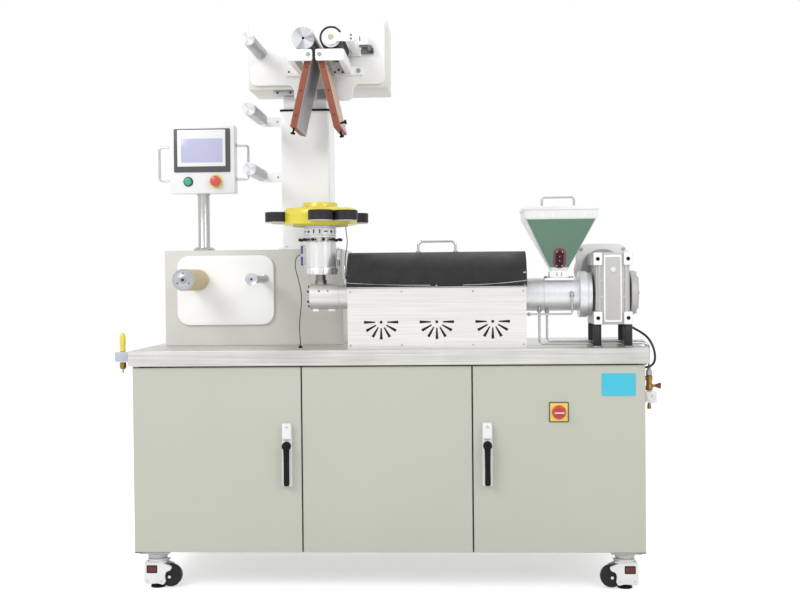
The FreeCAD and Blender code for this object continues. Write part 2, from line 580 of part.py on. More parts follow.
def make_winder():
    front = back("winder_front")
    node(box("winder_body", ("winder_width", "winder_deep", "winder_top - worktop_top"),
             ("winder_x - winder_width / 2", front, "worktop_top")), "winder_box")
    face = body("winder_face", ("wplate_x", front, "wplate_z"))
    drawing = sketch(face, "face_outline", "XZ_Plane")
    rectangle(drawing, "-wplate_width / 2", "wplate_width / 2", "-wplate_tall / 2", "wplate_tall / 2")
    circle(drawing, "shaft_radius + bore_play", "shaft_x - wplate_x", "shaft_z - wplate_z")
    circle(drawing, "guide_stub + bore_play", "guide_x - wplate_x", "guide_z - wplate_z")
    plate = pad(face, drawing, "wplate_thick")
    doc.recompute()
    half = val.wplate_width / 2
    corners = edges_along(plate.Shape, Vector(0, 1, 0), lambda c: abs(abs(c.x) - half) < 1)
    fillet(face, plate, corners, "wplate_corner")
    node(face, "winder_plate")

    plate_y = "(front_y + winder_front - wplate_thick)"
    core_y = back("core_front")
    cap = cylinder("shaft_cap", "core_radius", "cap_thick",
                   ("shaft_x", core_y + " - cap_thick", "shaft_z"), "y")
    hub = cylinder("shaft_hub", "cap_hub", "cap_thick",
                   ("shaft_x", core_y + " - 2 * cap_thick", "shaft_z"), "y")
    mandrel = cylinder("mandrel", "core_radius - core_wall - bore_play", "core_long",
                       ("shaft_x", core_y, "shaft_z"), "y")
    spindle = cylinder("winder_spindle", "shaft_radius",
                       plate_y + " + wplate_thick - bore_play - " + core_y + " - core_long",
                       ("shaft_x", core_y + " + core_long", "shaft_z"), "y")
    node(fuse("winding", [cap, hub, mandrel, spindle]), "winding_shaft")
    start = ("shaft_x", core_y, "shaft_z")
    outer = cylinder("core_outer", "core_radius", "core_long", start, "y")
    inner = cylinder("core_inner", "core_radius - core_wall", "core_long", start, "y")
    node(cut("core", outer, [inner]), "paper_core")

    guide_y = back("guide_front")
    disc = cylinder("guide_face", "guide_disc", "guide_disc_thick", ("guide_x", guide_y, "guide_z"), "y")
    barrel = cylinder("guide_barrel", "guide_body", plate_y + " - " + guide_y + " - door_gap",
                      ("guide_x", guide_y, "guide_z"), "y")
    stub = cylinder("guide_stub_shaft", "guide_stub", plate_y + " + wplate_thick - bore_play - " + guide_y,
                    ("guide_x", guide_y, "guide_z"), "y")
    node(fuse("guide", [disc, barrel, stub]), "winder_roller")


# Operator panel

def grab(label, x, out):
    """A square grab handle on a side of the panel: two legs and a grip."""
    y = "(front_y + panel_front + panel_deep / 2)"
    grip_x = x + (" + grab_out - grab_radius" if out > 0 else " - grab_out + grab_radius")
    legs = []
    for i, z in enumerate(("grab_low + grab_radius", "grab_low + grab_tall - grab_radius")):
        start = x if out > 0 else x + " - grab_out + grab_radius"
        legs.append(cylinder(label + "_leg_" + str(i), "grab_radius", "grab_out - grab_radius",
                             (start, y, z), "x"))
    grip = cylinder(label + "_grip", "grab_radius", "grab_tall - 2 * grab_radius",
                    (grip_x, y, "grab_low + grab_radius"))
    return legs + [grip]


def make_panel():
    front = back("panel_front")
    case = box("panel_case", ("panel_width", "panel_deep", "panel_tall"),
               ("panel_x - panel_width / 2", front, "panel_low"))
    bezel = box("bezel", ("bezel_width", "bezel_thick", "bezel_tall"),
                ("panel_x - bezel_width / 2", front + " - bezel_thick", "bezel_low"))
    bores = []
    for label, x in (("start", "start_x"), ("stop", "stop_x")):
        bores.append(cylinder(label + "_socket", "stem_radius + bore_play", "stem_deep + press_depth",
                              (x, front, "button_z"), "y"))
    grabs = grab("left_grab", "(panel_x - panel_width / 2)", -1)
    grabs += grab("right_grab", "(panel_x + panel_width / 2)", 1)
    solid = fuse("panel_solid", [case, bezel] + grabs)
    node(cut("panel", solid, bores), "panel_box")

    tube_post = cylinder("post_tube", "post_radius", "panel_low - winder_top",
                         ("post_x", back("post_y"), "winder_top"))
    flange = cylinder("post_foot", "post_flange", "flange_thick", ("post_x", back("post_y"), "winder_top"))
    node(fuse("post", [tube_post, flange]), "panel_post")

    for label, x in (("start", "start_x"), ("stop", "stop_x")):
        face = front + " - press_depth - press_play"
        thick = label + "_thick"
        head = cylinder(label + "_head", label + "_radius", thick, (x, face + " - " + thick, "button_z"), "y")
        stem = cylinder(label + "_stem", "stem_radius", "stem_deep + press_depth", (x, face, "button_z"), "y")
        node(fuse(label + "_push", [head, stem]), label + "_button")


# Tower, head and guide rollers

def make_tower():
    y = back("tower_front")
    mast = box("mast", ("tower_width", "tower_deep", "tower_top - winder_top"),
               ("tower_x - tower_width / 2", y, "winder_top"))
    foot = box("tower_base", ("tower_width + 2 * tower_foot", "tower_deep + 2 * tower_foot", "foot_thick"),
               ("tower_x - tower_width / 2 - tower_foot", y + " - tower_foot", "winder_top"))
    bars = []
    for label, z in (("upper", "upper_idler_z"), ("lower", "lower_idler_z")):
        left = "(idler_x - idler_bar / 2)"
        size = ("tower_x - tower_width / 2 - " + left, "idler_bar_thick", "idler_bar")
        bars.append(box(label + "_bar", size, (left, y + " + tower_foot", z + " - idler_bar / 2")))
    bores = []
    for label, z in (("upper", "upper_idler_z"), ("lower", "lower_idler_z")):
        bores.append(cylinder(label + "_bar_bore", "idler_stub + bore_play", "idler_bar_thick",
                              ("idler_x", y + " + tower_foot", z), "y"))
    solid = fuse("mast_solid", [mast, foot] + bars)
    column = cut("column", solid, bores)

    collar = box("collar", ("tower_width + 2 * collar_over", "tower_deep + 2 * collar_over", "collar_tall"),
                 ("tower_x - tower_width / 2 - collar_over", y + " - collar_over", "tower_top"))
    neck = box("neck", ("tower_width - 2 * neck_inset", "tower_deep - 2 * neck_inset - 2 * neck_inset",
               "head_low - tower_top"),
               ("tower_x - tower_width / 2 + neck_inset", y + " + neck_inset", "tower_top"))
    node(fuse("tower", [column, collar, neck]), "tower_column")

    head_y = back("head_front")
    node(box("head_body", ("head_width", "head_deep", "head_top - head_low"),
             ("head_x - head_width / 2", head_y, "head_low")), "head_box")

    face = body("head_face", ("hplate_x", head_y, "0"))
    drawing = sketch(face, "head_outline", "XZ_Plane")
    tab_l = "film_x - hplate_x - tab_width / 2"
    tab_r = "film_x - hplate_x + tab_width / 2"
    outline(drawing, [("-hplate_width / 2", "hplate_low"), (tab_l, "hplate_low"), (tab_l, "tab_low"),
                      (tab_r, "tab_low"), (tab_r, "hplate_low"), ("hplate_width / 2", "hplate_low"),
                      ("hplate_width / 2", "hplate_top"), ("-hplate_width / 2", "hplate_top")])
    circle(drawing, "nip_stub + bore_play", "drive_x - hplate_x", "nip_z")
    circle(drawing, "idler_stub + bore_play", "idler_x - hplate_x", "head_idler_z")
    plate = pad(face, drawing, "hplate_thick")
    doc.recompute()
    up = Vector(0, 1, 0)
    inner = edges_along(plate.Shape, up, lambda c: abs(c.z - val.hplate_low) < 1
                        and abs(c.x) < val.hplate_width / 2 - 1)
    curved = fillet(face, plate, inner, "tab_fillet")
    doc.recompute()
    outer = edges_along(curved.Shape, up, lambda c: abs(abs(c.x) - val.hplate_width / 2) < 1
                        or abs(c.z - val.tab_low) < 1)
    fillet(face, curved, outer, "hplate_corner")
    node(face, "head_plate")


def idler(label, z, end):
    """A guide roller on a stub shaft that ends in its carrier."""
    start = "(front_y + film_y - roll_long / 2)"
    roll = cylinder(label + "_roll", "idler_radius", "roll_long", ("idler_x", start, z), "y")
    stub = cylinder(label + "_stub", "idler_stub", end + " - " + start + " - roll_long",
                    ("idler_x", start + " + roll_long", z), "y")
    node(fuse(label + "_turning", [roll, stub]), label)


def make_idlers():
    idler("head_roller", "head_idler_z", "(front_y + head_front - bore_play)")
    bar_back = "(front_y + tower_front + tower_foot + idler_bar_thick)"
    idler("upper_tower_roller", "upper_idler_z", bar_back)
    idler("lower_tower_roller", "lower_idler_z", bar_back)


# Nip rollers and collapsing boards

ROLL_Y = "(front_y + film_y - roll_long / 2)"
PLATE_Y = "(front_y + head_front - hplate_thick)"
RUBBER_X = "(drive_x + 2 * nip_radius + nip_gap)"


def make_nip():
    front = "(" + ROLL_Y + " - nip_bar_thick - door_gap)"
    base_y = "(" + PLATE_Y + " - nip_bar_thick)"
    base = box("nip_base", ("base_right - base_left", "nip_bar_thick", "base_tall"),
               ("base_left", base_y, "base_low"))
    pieces = [base]
    for label, left, right in (("left", "nip_bar_left", "film_x - nip_bar_gap / 2"),
                               ("right", "film_x + nip_bar_gap / 2", "nip_bar_right")):
        pieces.append(box(label + "_nip_bar", (right + " - " + left if label == "left" else
                          right + " - film_x - nip_bar_gap / 2", "nip_bar_thick", "nip_bar_tall"),
                          (left, front, "nip_bar_low")))
        beam_x = "nip_bar_left" if label == "left" else "nip_bar_right - nip_beam"
        pieces.append(box(label + "_nip_beam", ("nip_beam", base_y + " - " + front, "nip_bar_tall"),
                          (beam_x, front, "nip_bar_low")))
        rod_x = "film_x - board_pivot_half" if label == "left" else "film_x + board_pivot_half"
        pieces.append(cylinder(label + "_board_rod", "board_rod", base_y + " - " + front,
                               (rod_x, front, "board_pivot_z"), "y"))
    rail = box("nip_rail", ("rail_right - rail_left", "rail_deep", "rail_wide"),
               ("rail_left", PLATE_Y + " - rail_deep", "nip_z - rail_wide / 2"))
    press = box("nip_cylinder", ("cylinder_side", "cylinder_side", "cylinder_side"),
                ("cylinder_x - cylinder_side / 2", PLATE_Y + " - cylinder_side", "cylinder_low"))
    node(group("nip_fixed", [fuse("nip_bars", pieces), rail, press]), "nip_frame")

    roll = cylinder("drive_roll", "nip_radius", "roll_long", ("drive_x", ROLL_Y, "nip_z"), "y")
    stub = cylinder("drive_stub", "nip_stub", "front_y + head_front - bore_play - " + ROLL_Y,
                    ("drive_x", ROLL_Y, "nip_z"), "y")
    node(fuse("drive_turning", [roll, stub]), "drive_nip_roller")

    # the yoke carries the rubber roller between two arms and slides on the rail
    arm_low = "nip_z - yoke_half"
    long_x = "(yoke_side_x - (" + RUBBER_X + ") + yoke_half)"
    rear_y = "(" + PLATE_Y + " - rail_deep - yoke_thick - lever_play)"
    arms = []
    for label, y in (("front", "(" + ROLL_Y + " - yoke_thick - lever_play)"), ("rear", rear_y)):
        arms.append(box("yoke_" + label, (long_x, "yoke_thick", "2 * yoke_half"),
                        (RUBBER_X + " - yoke_half", y, arm_low)))
        arms.append(cylinder("yoke_hub_" + label, "hub_disc", "yoke_thick", (RUBBER_X, y, "nip_z"), "y"))
    tie_deep = PLATE_Y + " - lever_play - " + ROLL_Y + " + yoke_thick"
    tie = box("yoke_tie", ("yoke_side", tie_deep, "2 * yoke_half"),
              ("yoke_side_x - yoke_side", "(" + ROLL_Y + " - yoke_thick - lever_play)", arm_low))
    truck = box("yoke_truck", ("carriage", PLATE_Y + " - lever_play - " + rear_y, "2 * yoke_half"),
                ("yoke_side_x - yoke_side", rear_y, arm_low))
    bores = []
    for label, y in (("front", "(" + ROLL_Y + " - yoke_thick - lever_play)"), ("rear", rear_y)):
        bores.append(cylinder("yoke_bore_" + label, "rubber_stub + bore_play", "yoke_thick",
                              (RUBBER_X, y, "nip_z"), "y"))
    way = ("3 * carriage", "rail_deep + bore_play + past", "rail_wide + 2 * bore_play")
    bores.append(box("yoke_way", way,
                     ("yoke_side_x - yoke_side - carriage", PLATE_Y + " - rail_deep - bore_play",
                      "nip_z - rail_wide / 2 - bore_play")))
    solid = fuse("yoke_solid", arms + [tie, truck])
    node(cut("yoke", solid, bores), "nip_yoke")
    rubber_long = "(" + rear_y + " - lever_play - " + ROLL_Y + ")"
    roll = cylinder("rubber_roll", "nip_radius", rubber_long, (RUBBER_X, ROLL_Y, "nip_z"), "y")
    shaft = cylinder("rubber_shaft", "rubber_stub", rubber_long + " + 2 * yoke_thick + 2 * lever_play",
                     (RUBBER_X, ROLL_Y + " - yoke_thick - lever_play", "nip_z"), "y")
    node(fuse("rubber_turning", [roll, shaft]), "rubber_nip_roller")


def knob(owner, name, plane, face, spot, away):
    """A clamp knob on a stem that stands out of a face of the board."""
    sign = " - " if away else " + "
    stem = sketch(owner, name + "_stem", plane, face)
    circle(stem, "knob_stem", *spot)
    pad(owner, stem, "knob_out", away, "Stem" + name)
    head = sketch(owner, name + "_head", plane, face + sign + "(knob_out - knob_long)")
    circle(head, "knob_radius", *spot)
    pad(owner, head, "knob_long", away, "Head" + name)


def make_boards():
    for label, side in (("left", -1), ("right", 1)):
        board = body(label + "_board", ("film_x + " + str(side) + " * board_pivot_half",
                     "(front_y + film_y - board_wide / 2)", "board_pivot_z"))
        board.Placement = Placement(board.Placement.Base, Rotation(Vector(0, 1, 0), 0))
        bind(board, "Placement.Rotation.Angle", "board_angle")
        board.Placement.Rotation.Axis = Vector(0, 1, 0)
        bind(board, "Placement.Rotation.Axis.y", str(-side))
        drawing = sketch(board, label + "_board_outline", "XZ_Plane")
        rectangle(drawing, "-board_thick / 2", "board_thick / 2", "-board_below", "board_above")
        circle(drawing, "board_rod + bore_play", "0", "0")
        pad(board, drawing, "board_wide", away=True)
        foot = "-board_below"
        if side < 0:
            knob(board, "low", "XY_Plane", foot, ("0", "knob_front"), True)
        else:
            knob(board, "low", "XY_Plane", foot, ("0", "board_wide / 2"), True)
            knob(board, "side", "YZ_Plane", "board_thick / 2", ("knob_side", "knob_up - board_below"), False)
        node(board, "board_" + label)


# Air ring and blowers

def make_air_ring():
    ring = body("ring", ("film_x", back("film_y"), "0"))
    profile = sketch(ring, "ring_profile", "XZ_Plane")
    outline(profile, [("ring_bore", "ring_low - under_thick"),
                      ("under_radius", "ring_low - under_thick"),
                      ("under_radius", "ring_low"),
                      ("ring_radius", "ring_low"),
                      ("ring_radius", "ring_top - ring_step"),
                      ("ring_radius - ring_step", "ring_top"),
                      ("lip_radius", "ring_top"),
                      ("lip_radius", "lip_top"),
                      ("lip_radius - ring_step", "lip_top"),
                      ("ring_bore", "ring_top")])
    revolve(ring, profile, "V_Axis")
    node(ring, "air_ring")

    blowers = []
    for pair in range(3):
        for half in (-1, 1):
            tag = str(len(blowers))
            angle = "(blower_first + " + str(120 * pair) + " + " + str(half) + " * blower_pair)"
            x = "film_x + blower_reach * cos(1 deg * " + angle + ")"
            y = "front_y + film_y + blower_reach * sin(1 deg * " + angle + ")"
            scroll = cylinder("scroll_" + tag, "blower_radius", "blower_tall", (x, y, "blower_low"))
            intake = cylinder("intake_" + tag, "intake_radius", "intake_deep",
                              (x, y, "blower_low + blower_tall - intake_deep"))
            clear = cylinder("ring_clear_" + tag, "ring_radius + blower_play", "blower_tall",
                             ("film_x", back("film_y"), "blower_low"))
            blowers.append(cut("blower_" + tag, scroll, [intake, clear]))
    node(group("blower_set", blowers), "blowers")


# Die

def make_die():
    die = body("die", ("film_x", back("film_y"), "0"))
    profile = sketch(die, "die_profile", "XZ_Plane")
    foot = "barrel_z + adaptor_radius - die_sink"
    outline(profile, [("0", foot),
                      ("die_neck", foot),
                      ("die_neck", "die_low"),
                      ("die_base_radius", "die_low"),
                      ("die_base_radius", "die_base_top"),
                      ("die_radius", "die_base_top"),
                      ("die_radius", "die_body_top"),
                      ("die_waist", "die_body_top"),
                      ("die_waist", "die_waist_top"),
                      ("die_radius", "die_waist_top"),
                      ("die_radius", "die_top"),
                      ("die_lip", "die_top"),
                      ("die_lip", "die_lip_top"),
                      ("0", "die_lip_top")])
    revolve(die, profile, "V_Axis")
    doc.recompute()
    shank = sketch(die, "bolt_shank", "YZ_Plane")
    circle(shank, "bolt_radius", "0", "bolt_z")
    pad(die, shank, "bolt_reach", name="BoltShank")
    top = sketch(die, "bolt_head_sketch", "YZ_Plane", "bolt_reach - bolt_head_long")
    circle(top, "bolt_head", "0", "bolt_z")
    head = pad(die, top, "bolt_head_long", name="BoltHead")
    doc.recompute()
    ring = die.newObject("PartDesign::PolarPattern", "Bolts")
    ring.Originals = [die.getObject("BoltShank"), head]
    ring.Axis = (profile, ["V_Axis"])
    ring.Angle = 360
    bind(ring, "Occurrences", "bolt_count")
    die.Tip = ring
    block = ("die_radius - die_waist + terminal_out", "terminal_side", "terminal_tall")
    terminal = box("terminal_block", block,
                   ("film_x - die_radius - terminal_out", back("film_y") + " - terminal_side / 2",
                    "die_body_top - terminal_tall - terminal_out"))
    node(fuse("die_and_block", [die, terminal]), "die_head")

    long_x = "guard_left - adaptor_left"
    y, z = back("film_y"), "barrel_z"
    main = cylinder("adaptor_main", "adaptor_radius", long_x, ("adaptor_left", y, z), "x")
    groove = cylinder("adaptor_groove", "adaptor_radius + past", "seam_wide", ("adaptor_seam", y, z), "x")
    core = cylinder("adaptor_core", "adaptor_radius - seam_deep", long_x, ("adaptor_left", y, z), "x")
    turned = cut("adaptor_turned", main, [groove])
    bolts = []
    for i in range(int(val.end_bolts)):
        angle = "(1 deg * 360 * " + str(i) + " / end_bolts)"
        bolts.append(cylinder("end_bolt_" + str(i), "end_bolt", "end_bolt_long",
                              ("adaptor_left - end_bolt_long", y + " + end_bolt_circle * cos(" + angle + ")",
                               z + " + end_bolt_circle * sin(" + angle + ")"), "x"))
    rod = cylinder("probe_rod", "probe_radius", "probe_tall", ("probe_x", back("probe_y"), z))
    nut = cylinder("probe_nut_body", "probe_nut", "probe_nut_tall + adaptor_radius",
                   ("probe_x", back("probe_y"), z))
    seat_cut = cylinder("neck_seat", "die_neck + bore_play", "2 * die_sink",
                        ("film_x", y, z + " + adaptor_radius - die_sink"))
    whole = fuse("adaptor_whole", [turned, core, rod, nut] + bolts)
    node(cut("adaptor", whole, [seat_cut]), "die_adaptor")


# Extruder barrel, guard and lid

def make_extruder():
    y, z = back("film_y"), "barrel_z"
    screw_part = cylinder("barrel_bare", "barrel_radius", "guard_long", ("guard_left", y, z), "x")
    bands = []
    pitch = "(guard_long / heaters)"
    for i in range(int(val.heaters)):
        start = "guard_left + " + pitch + " * " + str(i) + " + (" + pitch + " - heater_long) / 2"
        bands.append(cylinder("heater_" + str(i), "heater_radius", "heater_long", (start, y, z), "x"))
    feed = cylinder("feed_tube", "feed_radius", "ring_left - guard_right", ("guard_right", y, z), "x")
    ring = cylinder("feed_ring", "ring_side", "ring_right - ring_left", ("ring_left", y, z), "x")
    solid = fuse("barrel_solid", [screw_part, feed, ring] + bands)
    flat = box("saddle_cut", ("foot_side + 2 * past", "2 * feed_radius", "feed_radius"),
               ("hopper_x - foot_side / 2 - past", y + " - feed_radius", "saddle_z"))
    throat = cylinder("throat", "throat_radius", "saddle_z - barrel_z", ("hopper_x", y, z))
    seam = ("feed_seam", y, z)
    groove = cut("seam_ring", cylinder("seam_outer", "feed_radius + past", "seam_wide", seam, "x"),
                 [cylinder("seam_inner", "feed_radius - seam_deep", "seam_wide", seam, "x")])
    node(cut("barrel", solid, [flat, throat, groove]), "extruder_barrel")

    guard_y = "(front_y + film_y - guard_half)"
    wide, deep = "guard_right - guard_left", "2 * guard_half"
    tall = "guard_top - worktop_top"
    front = body("guard_sheet", ("0", guard_y, "0"))
    drawing = sketch(front, "guard_outline", "XZ_Plane")
    rectangle(drawing, "guard_left", "guard_right", "worktop_top", "guard_top")
    pad(front, drawing, "guard_skin", away=True)
    doc.recompute()
    for i in range(3):
        x = "vent_first + vent_pitch * " + str(i)
        hub = sketch(front, "vent_hub_" + str(i), "XZ_Plane")
        bind(hub, "AttachmentOffset.Base.x", x)
        bind(hub, "AttachmentOffset.Base.y", "vent_z")
        circle(hub, "vent_hub", "0", "0")
        pocket(front, hub, "guard_skin", name="VentHub" + str(i))
        slot = sketch(front, "petal_" + str(i), "XZ_Plane")
        outline(slot, [(x + " - vent_outer", "vent_z - vent_tip"),
                       (x + " - vent_inner", "vent_z - vent_root"),
                       (x + " - vent_inner", "vent_z + vent_root"),
                       (x + " - vent_outer", "vent_z + vent_tip")])
        petal = pocket(front, slot, "guard_skin", name="Petal" + str(i))
        doc.recompute()
        fan = front.newObject("PartDesign::PolarPattern", "Fan" + str(i))
        fan.Originals = [petal]
        fan.Axis = (hub, ["N_Axis"])
        fan.Angle = 180
        bind(fan, "Occurrences", "petals")
        front.Tip = fan
        doc.recompute()

    case = box("guard_block", (wide, deep + " - guard_skin", tall),
               ("guard_left", guard_y + " + guard_skin", "worktop_top"))
    room = box("guard_room", (wide + " - 2 * guard_skin", deep + " - 2 * guard_skin", tall),
               ("guard_left + guard_skin", guard_y + " + guard_skin", "worktop_top"))
    notches = []
    for label, x, radius in (("left", "guard_left", "adaptor_radius"),
                             ("right", "guard_right - guard_skin", "feed_radius")):
        reach = "(" + radius + " + notch_play)"
        notches.append(cylinder(label + "_notch_round", reach, "guard_skin", (x, y, z), "x"))
        notches.append(box(label + "_notch", ("guard_skin", "2 * " + reach, "guard_top - barrel_z"),
                           (x, y + " - " + reach, z)))
    walls = cut("guard_walls", case, [room] + notches)

    # two hinges on the rear wall: a pin in two outer knuckles, and the lid's knuckle between them
    axis_y = "(front_y + film_y + guard_half + hinge_out)"
    knuckles = []
    for label, x in (("left", "guard_left + hinge_inset"), ("right", "guard_right - hinge_inset")):
        knuckles.append(cylinder(label + "_pin", "hinge_pin", "3 * hinge_long",
                                 ("(" + x + ") - 1.5 * hinge_long", axis_y, "guard_top"), "x"))
        for i, start in enumerate(("- 1.5 * hinge_long", "+ hinge_long / 2 + bore_play")):
            place = "(" + x + ") " + start
            knuckles.append(cylinder(label + "_knuckle_" + str(i), "hinge_radius", "hinge_long - bore_play",
                                     (place, axis_y, "guard_top"), "x"))
            leaf = ("hinge_long - bore_play", "hinge_out", "hinge_leaf")
            knuckles.append(box(label + "_leaf_" + str(i), leaf,
                                (place, axis_y + " - hinge_out", "guard_top - hinge_radius")))
    node(fuse("guard", [front, walls] + knuckles), "barrel_guard")

    # the lid is a half round on short straight sides, hinged on the rear wall
    lid_y = "(front_y + film_y)"
    out = "(guard_half + lid_play + lid_skin)"
    centre = "(lid_top - " + out + ")"
    over = "(guard_right - guard_left + 2 * lid_play + 2 * lid_skin)"
    left = "guard_left - lid_play - lid_skin"
    low = "(guard_top - lid_skin)"
    dome = cylinder("lid_dome", out, over, (left, lid_y, centre), "x")
    sides = box("lid_sides", (over, "2 * " + out, centre + " - " + low), (left, lid_y + " - " + out, low))
    inner = cylinder("lid_inner", out + " - lid_skin", over + " - 2 * lid_skin",
                     (left + " + lid_skin", lid_y, centre), "x")
    inner2 = box("lid_inner_sides", (over + " - 2 * lid_skin", "2 * " + out + " - 2 * lid_skin", out),
                 (left + " + lid_skin", lid_y + " - " + out + " + lid_skin", centre + " - " + out))
    below = box("lid_below", (over, "2 * " + out, "2 * " + out),
                (left, lid_y + " - " + out, low + " - 2 * " + out))
    rear = box("lid_rear", (over, "lid_skin + 2 * lid_play", "lid_skin + past"),
               (left, lid_y + " + " + out + " - lid_skin - lid_play", low))
    holes = []
    for label, x, radius in (("left", left, "adaptor_radius"),
                             ("right", "guard_right + lid_play", "feed_radius")):
        holes.append(cylinder("lid_" + label + "_hole", radius + " + notch_play + door_gap", "lid_skin",
                              (x, y, z), "x"))
    shell = fuse("lid_solid", [dome, sides])
    cover = cut("lid_sheet", shell, [inner, inner2, below, rear] + holes)
    grip = feature("lid_grip", grip_shape(val.guard_mid, val.front_y + val.film_y,
                                          val.lid_top - val.lid_skin / 2, val.lid_handle_wide,
                                          val.lid_handle_tall + val.lid_skin / 2))
    turning, eyes = [], []
    for label, x in (("left", "guard_left + hinge_inset"), ("right", "guard_right - hinge_inset")):
        start = "(" + x + ") - hinge_long / 2 + bore_play"
        turning.append(cylinder(label + "_lid_knuckle", "hinge_radius", "hinge_long - bore_play",
                                (start, axis_y, "guard_top"), "x"))
        leaf = ("hinge_long - bore_play", "hinge_out - lid_play", "hinge_leaf")
        turning.append(box(label + "_lid_leaf", leaf,
                           (start, axis_y + " - hinge_out + lid_play", "guard_top + past")))
        eyes.append(cylinder(label + "_lid_eye", "hinge_pin + bore_play", "hinge_long",
                             (start, axis_y, "guard_top"), "x"))
    node(cut("lid", fuse("lid_whole", [cover, grip] + turning), eyes), "guard_lid")


def grip_shape(x, y, low, wide, tall):
    """A bent rod handle standing on a surface: two legs, two bends and a bar along X."""
    half = wide / 2 - val.rod_radius
    bar = low + tall - val.rod_radius
    points = [(x - half, y, low), (x - half, y, bar), (x + half, y, bar), (x + half, y, low)]
    return tube(points, val.rod_radius, [val.rod_bend, val.rod_bend])


# Hopper

def square(owner, name, side, level):
    drawing = sketch(owner, name, "XY_Plane", level)
    half = "(" + side + ") / 2"
    return rectangle(drawing, "-" + half, half, "-" + half, half)


def make_hopper():
    hopper = body("hopper_body", ("hopper_x", back("film_y"), "0"))
    foot = square(hopper, "foot", "foot_side", "saddle_z")
    pad(hopper, foot, "hopper_foot", name="Foot")
    neck = square(hopper, "neck", "hopper_bot_side", "saddle_z")
    pad(hopper, neck, "hopper_low - saddle_z", name="Neck")
    for kind, less in (("Additive", ""), ("Subtractive", " - 2 * hopper_wall")):
        low = square(hopper, kind + "_low", "hopper_bot_side" + less, "hopper_low")
        high = square(hopper, kind + "_high", "hopper_top_side" + less, "band_low")
        loft = hopper.newObject("PartDesign::" + kind + "Loft", kind + "Loft")
        loft.Profile = low
        loft.Sections = [high]
        loft.Ruled = True
        doc.recompute()
        if kind == "Additive":
            rim = square(hopper, "band", "hopper_top_side", "band_low")
            pad(hopper, rim, "band_top - band_low", name="Band")
            doc.recompute()
    inside = square(hopper, "band_inside", "hopper_top_side - 2 * hopper_wall", "band_low")
    pocket(hopper, inside, "band_top - band_low", away=True, name="BandInside")
    chute = square(hopper, "chute", "2 * throat_radius", "saddle_z")
    pocket(hopper, chute, "hopper_low - saddle_z", away=True, name="Chute")
    doc.recompute()
    node(hopper, "hopper")

    y = back("film_y")
    cap = box("hopper_cap", ("hlid_side", "hlid_side", "hlid_thick"),
              ("hopper_x - hlid_side / 2", y + " - hlid_side / 2", "band_top + swivel_play"))
    lip_side = "(hopper_top_side - 2 * hopper_wall - 2 * hlid_play)"
    lip_low = "band_top - hlid_lip + swivel_play"
    lip = box("cap_lip", (lip_side, lip_side, "hlid_lip"),
              ("hopper_x - " + lip_side + " / 2", y + " - " + lip_side + " / 2", lip_low))
    room_side = "(" + lip_side + " - 4 * hopper_wall)"
    lip_in = box("cap_lip_room", (room_side, room_side, "hlid_lip"),
                 ("hopper_x - " + room_side + " / 2", y + " - " + room_side + " / 2", lip_low))
    rod = feature("cap_rod", grip_shape(val.hopper_x, val.front_y + val.film_y,
                                        val.band_top + val.swivel_play + val.hlid_thick / 2,
                                        val.hlid_handle_wide, val.hlid_handle_tall))
    node(fuse("hopper_cover", [cap, cut("cap_ring", lip, [lip_in]), rod]), "hopper_lid")


# Gearbox, motor and legs

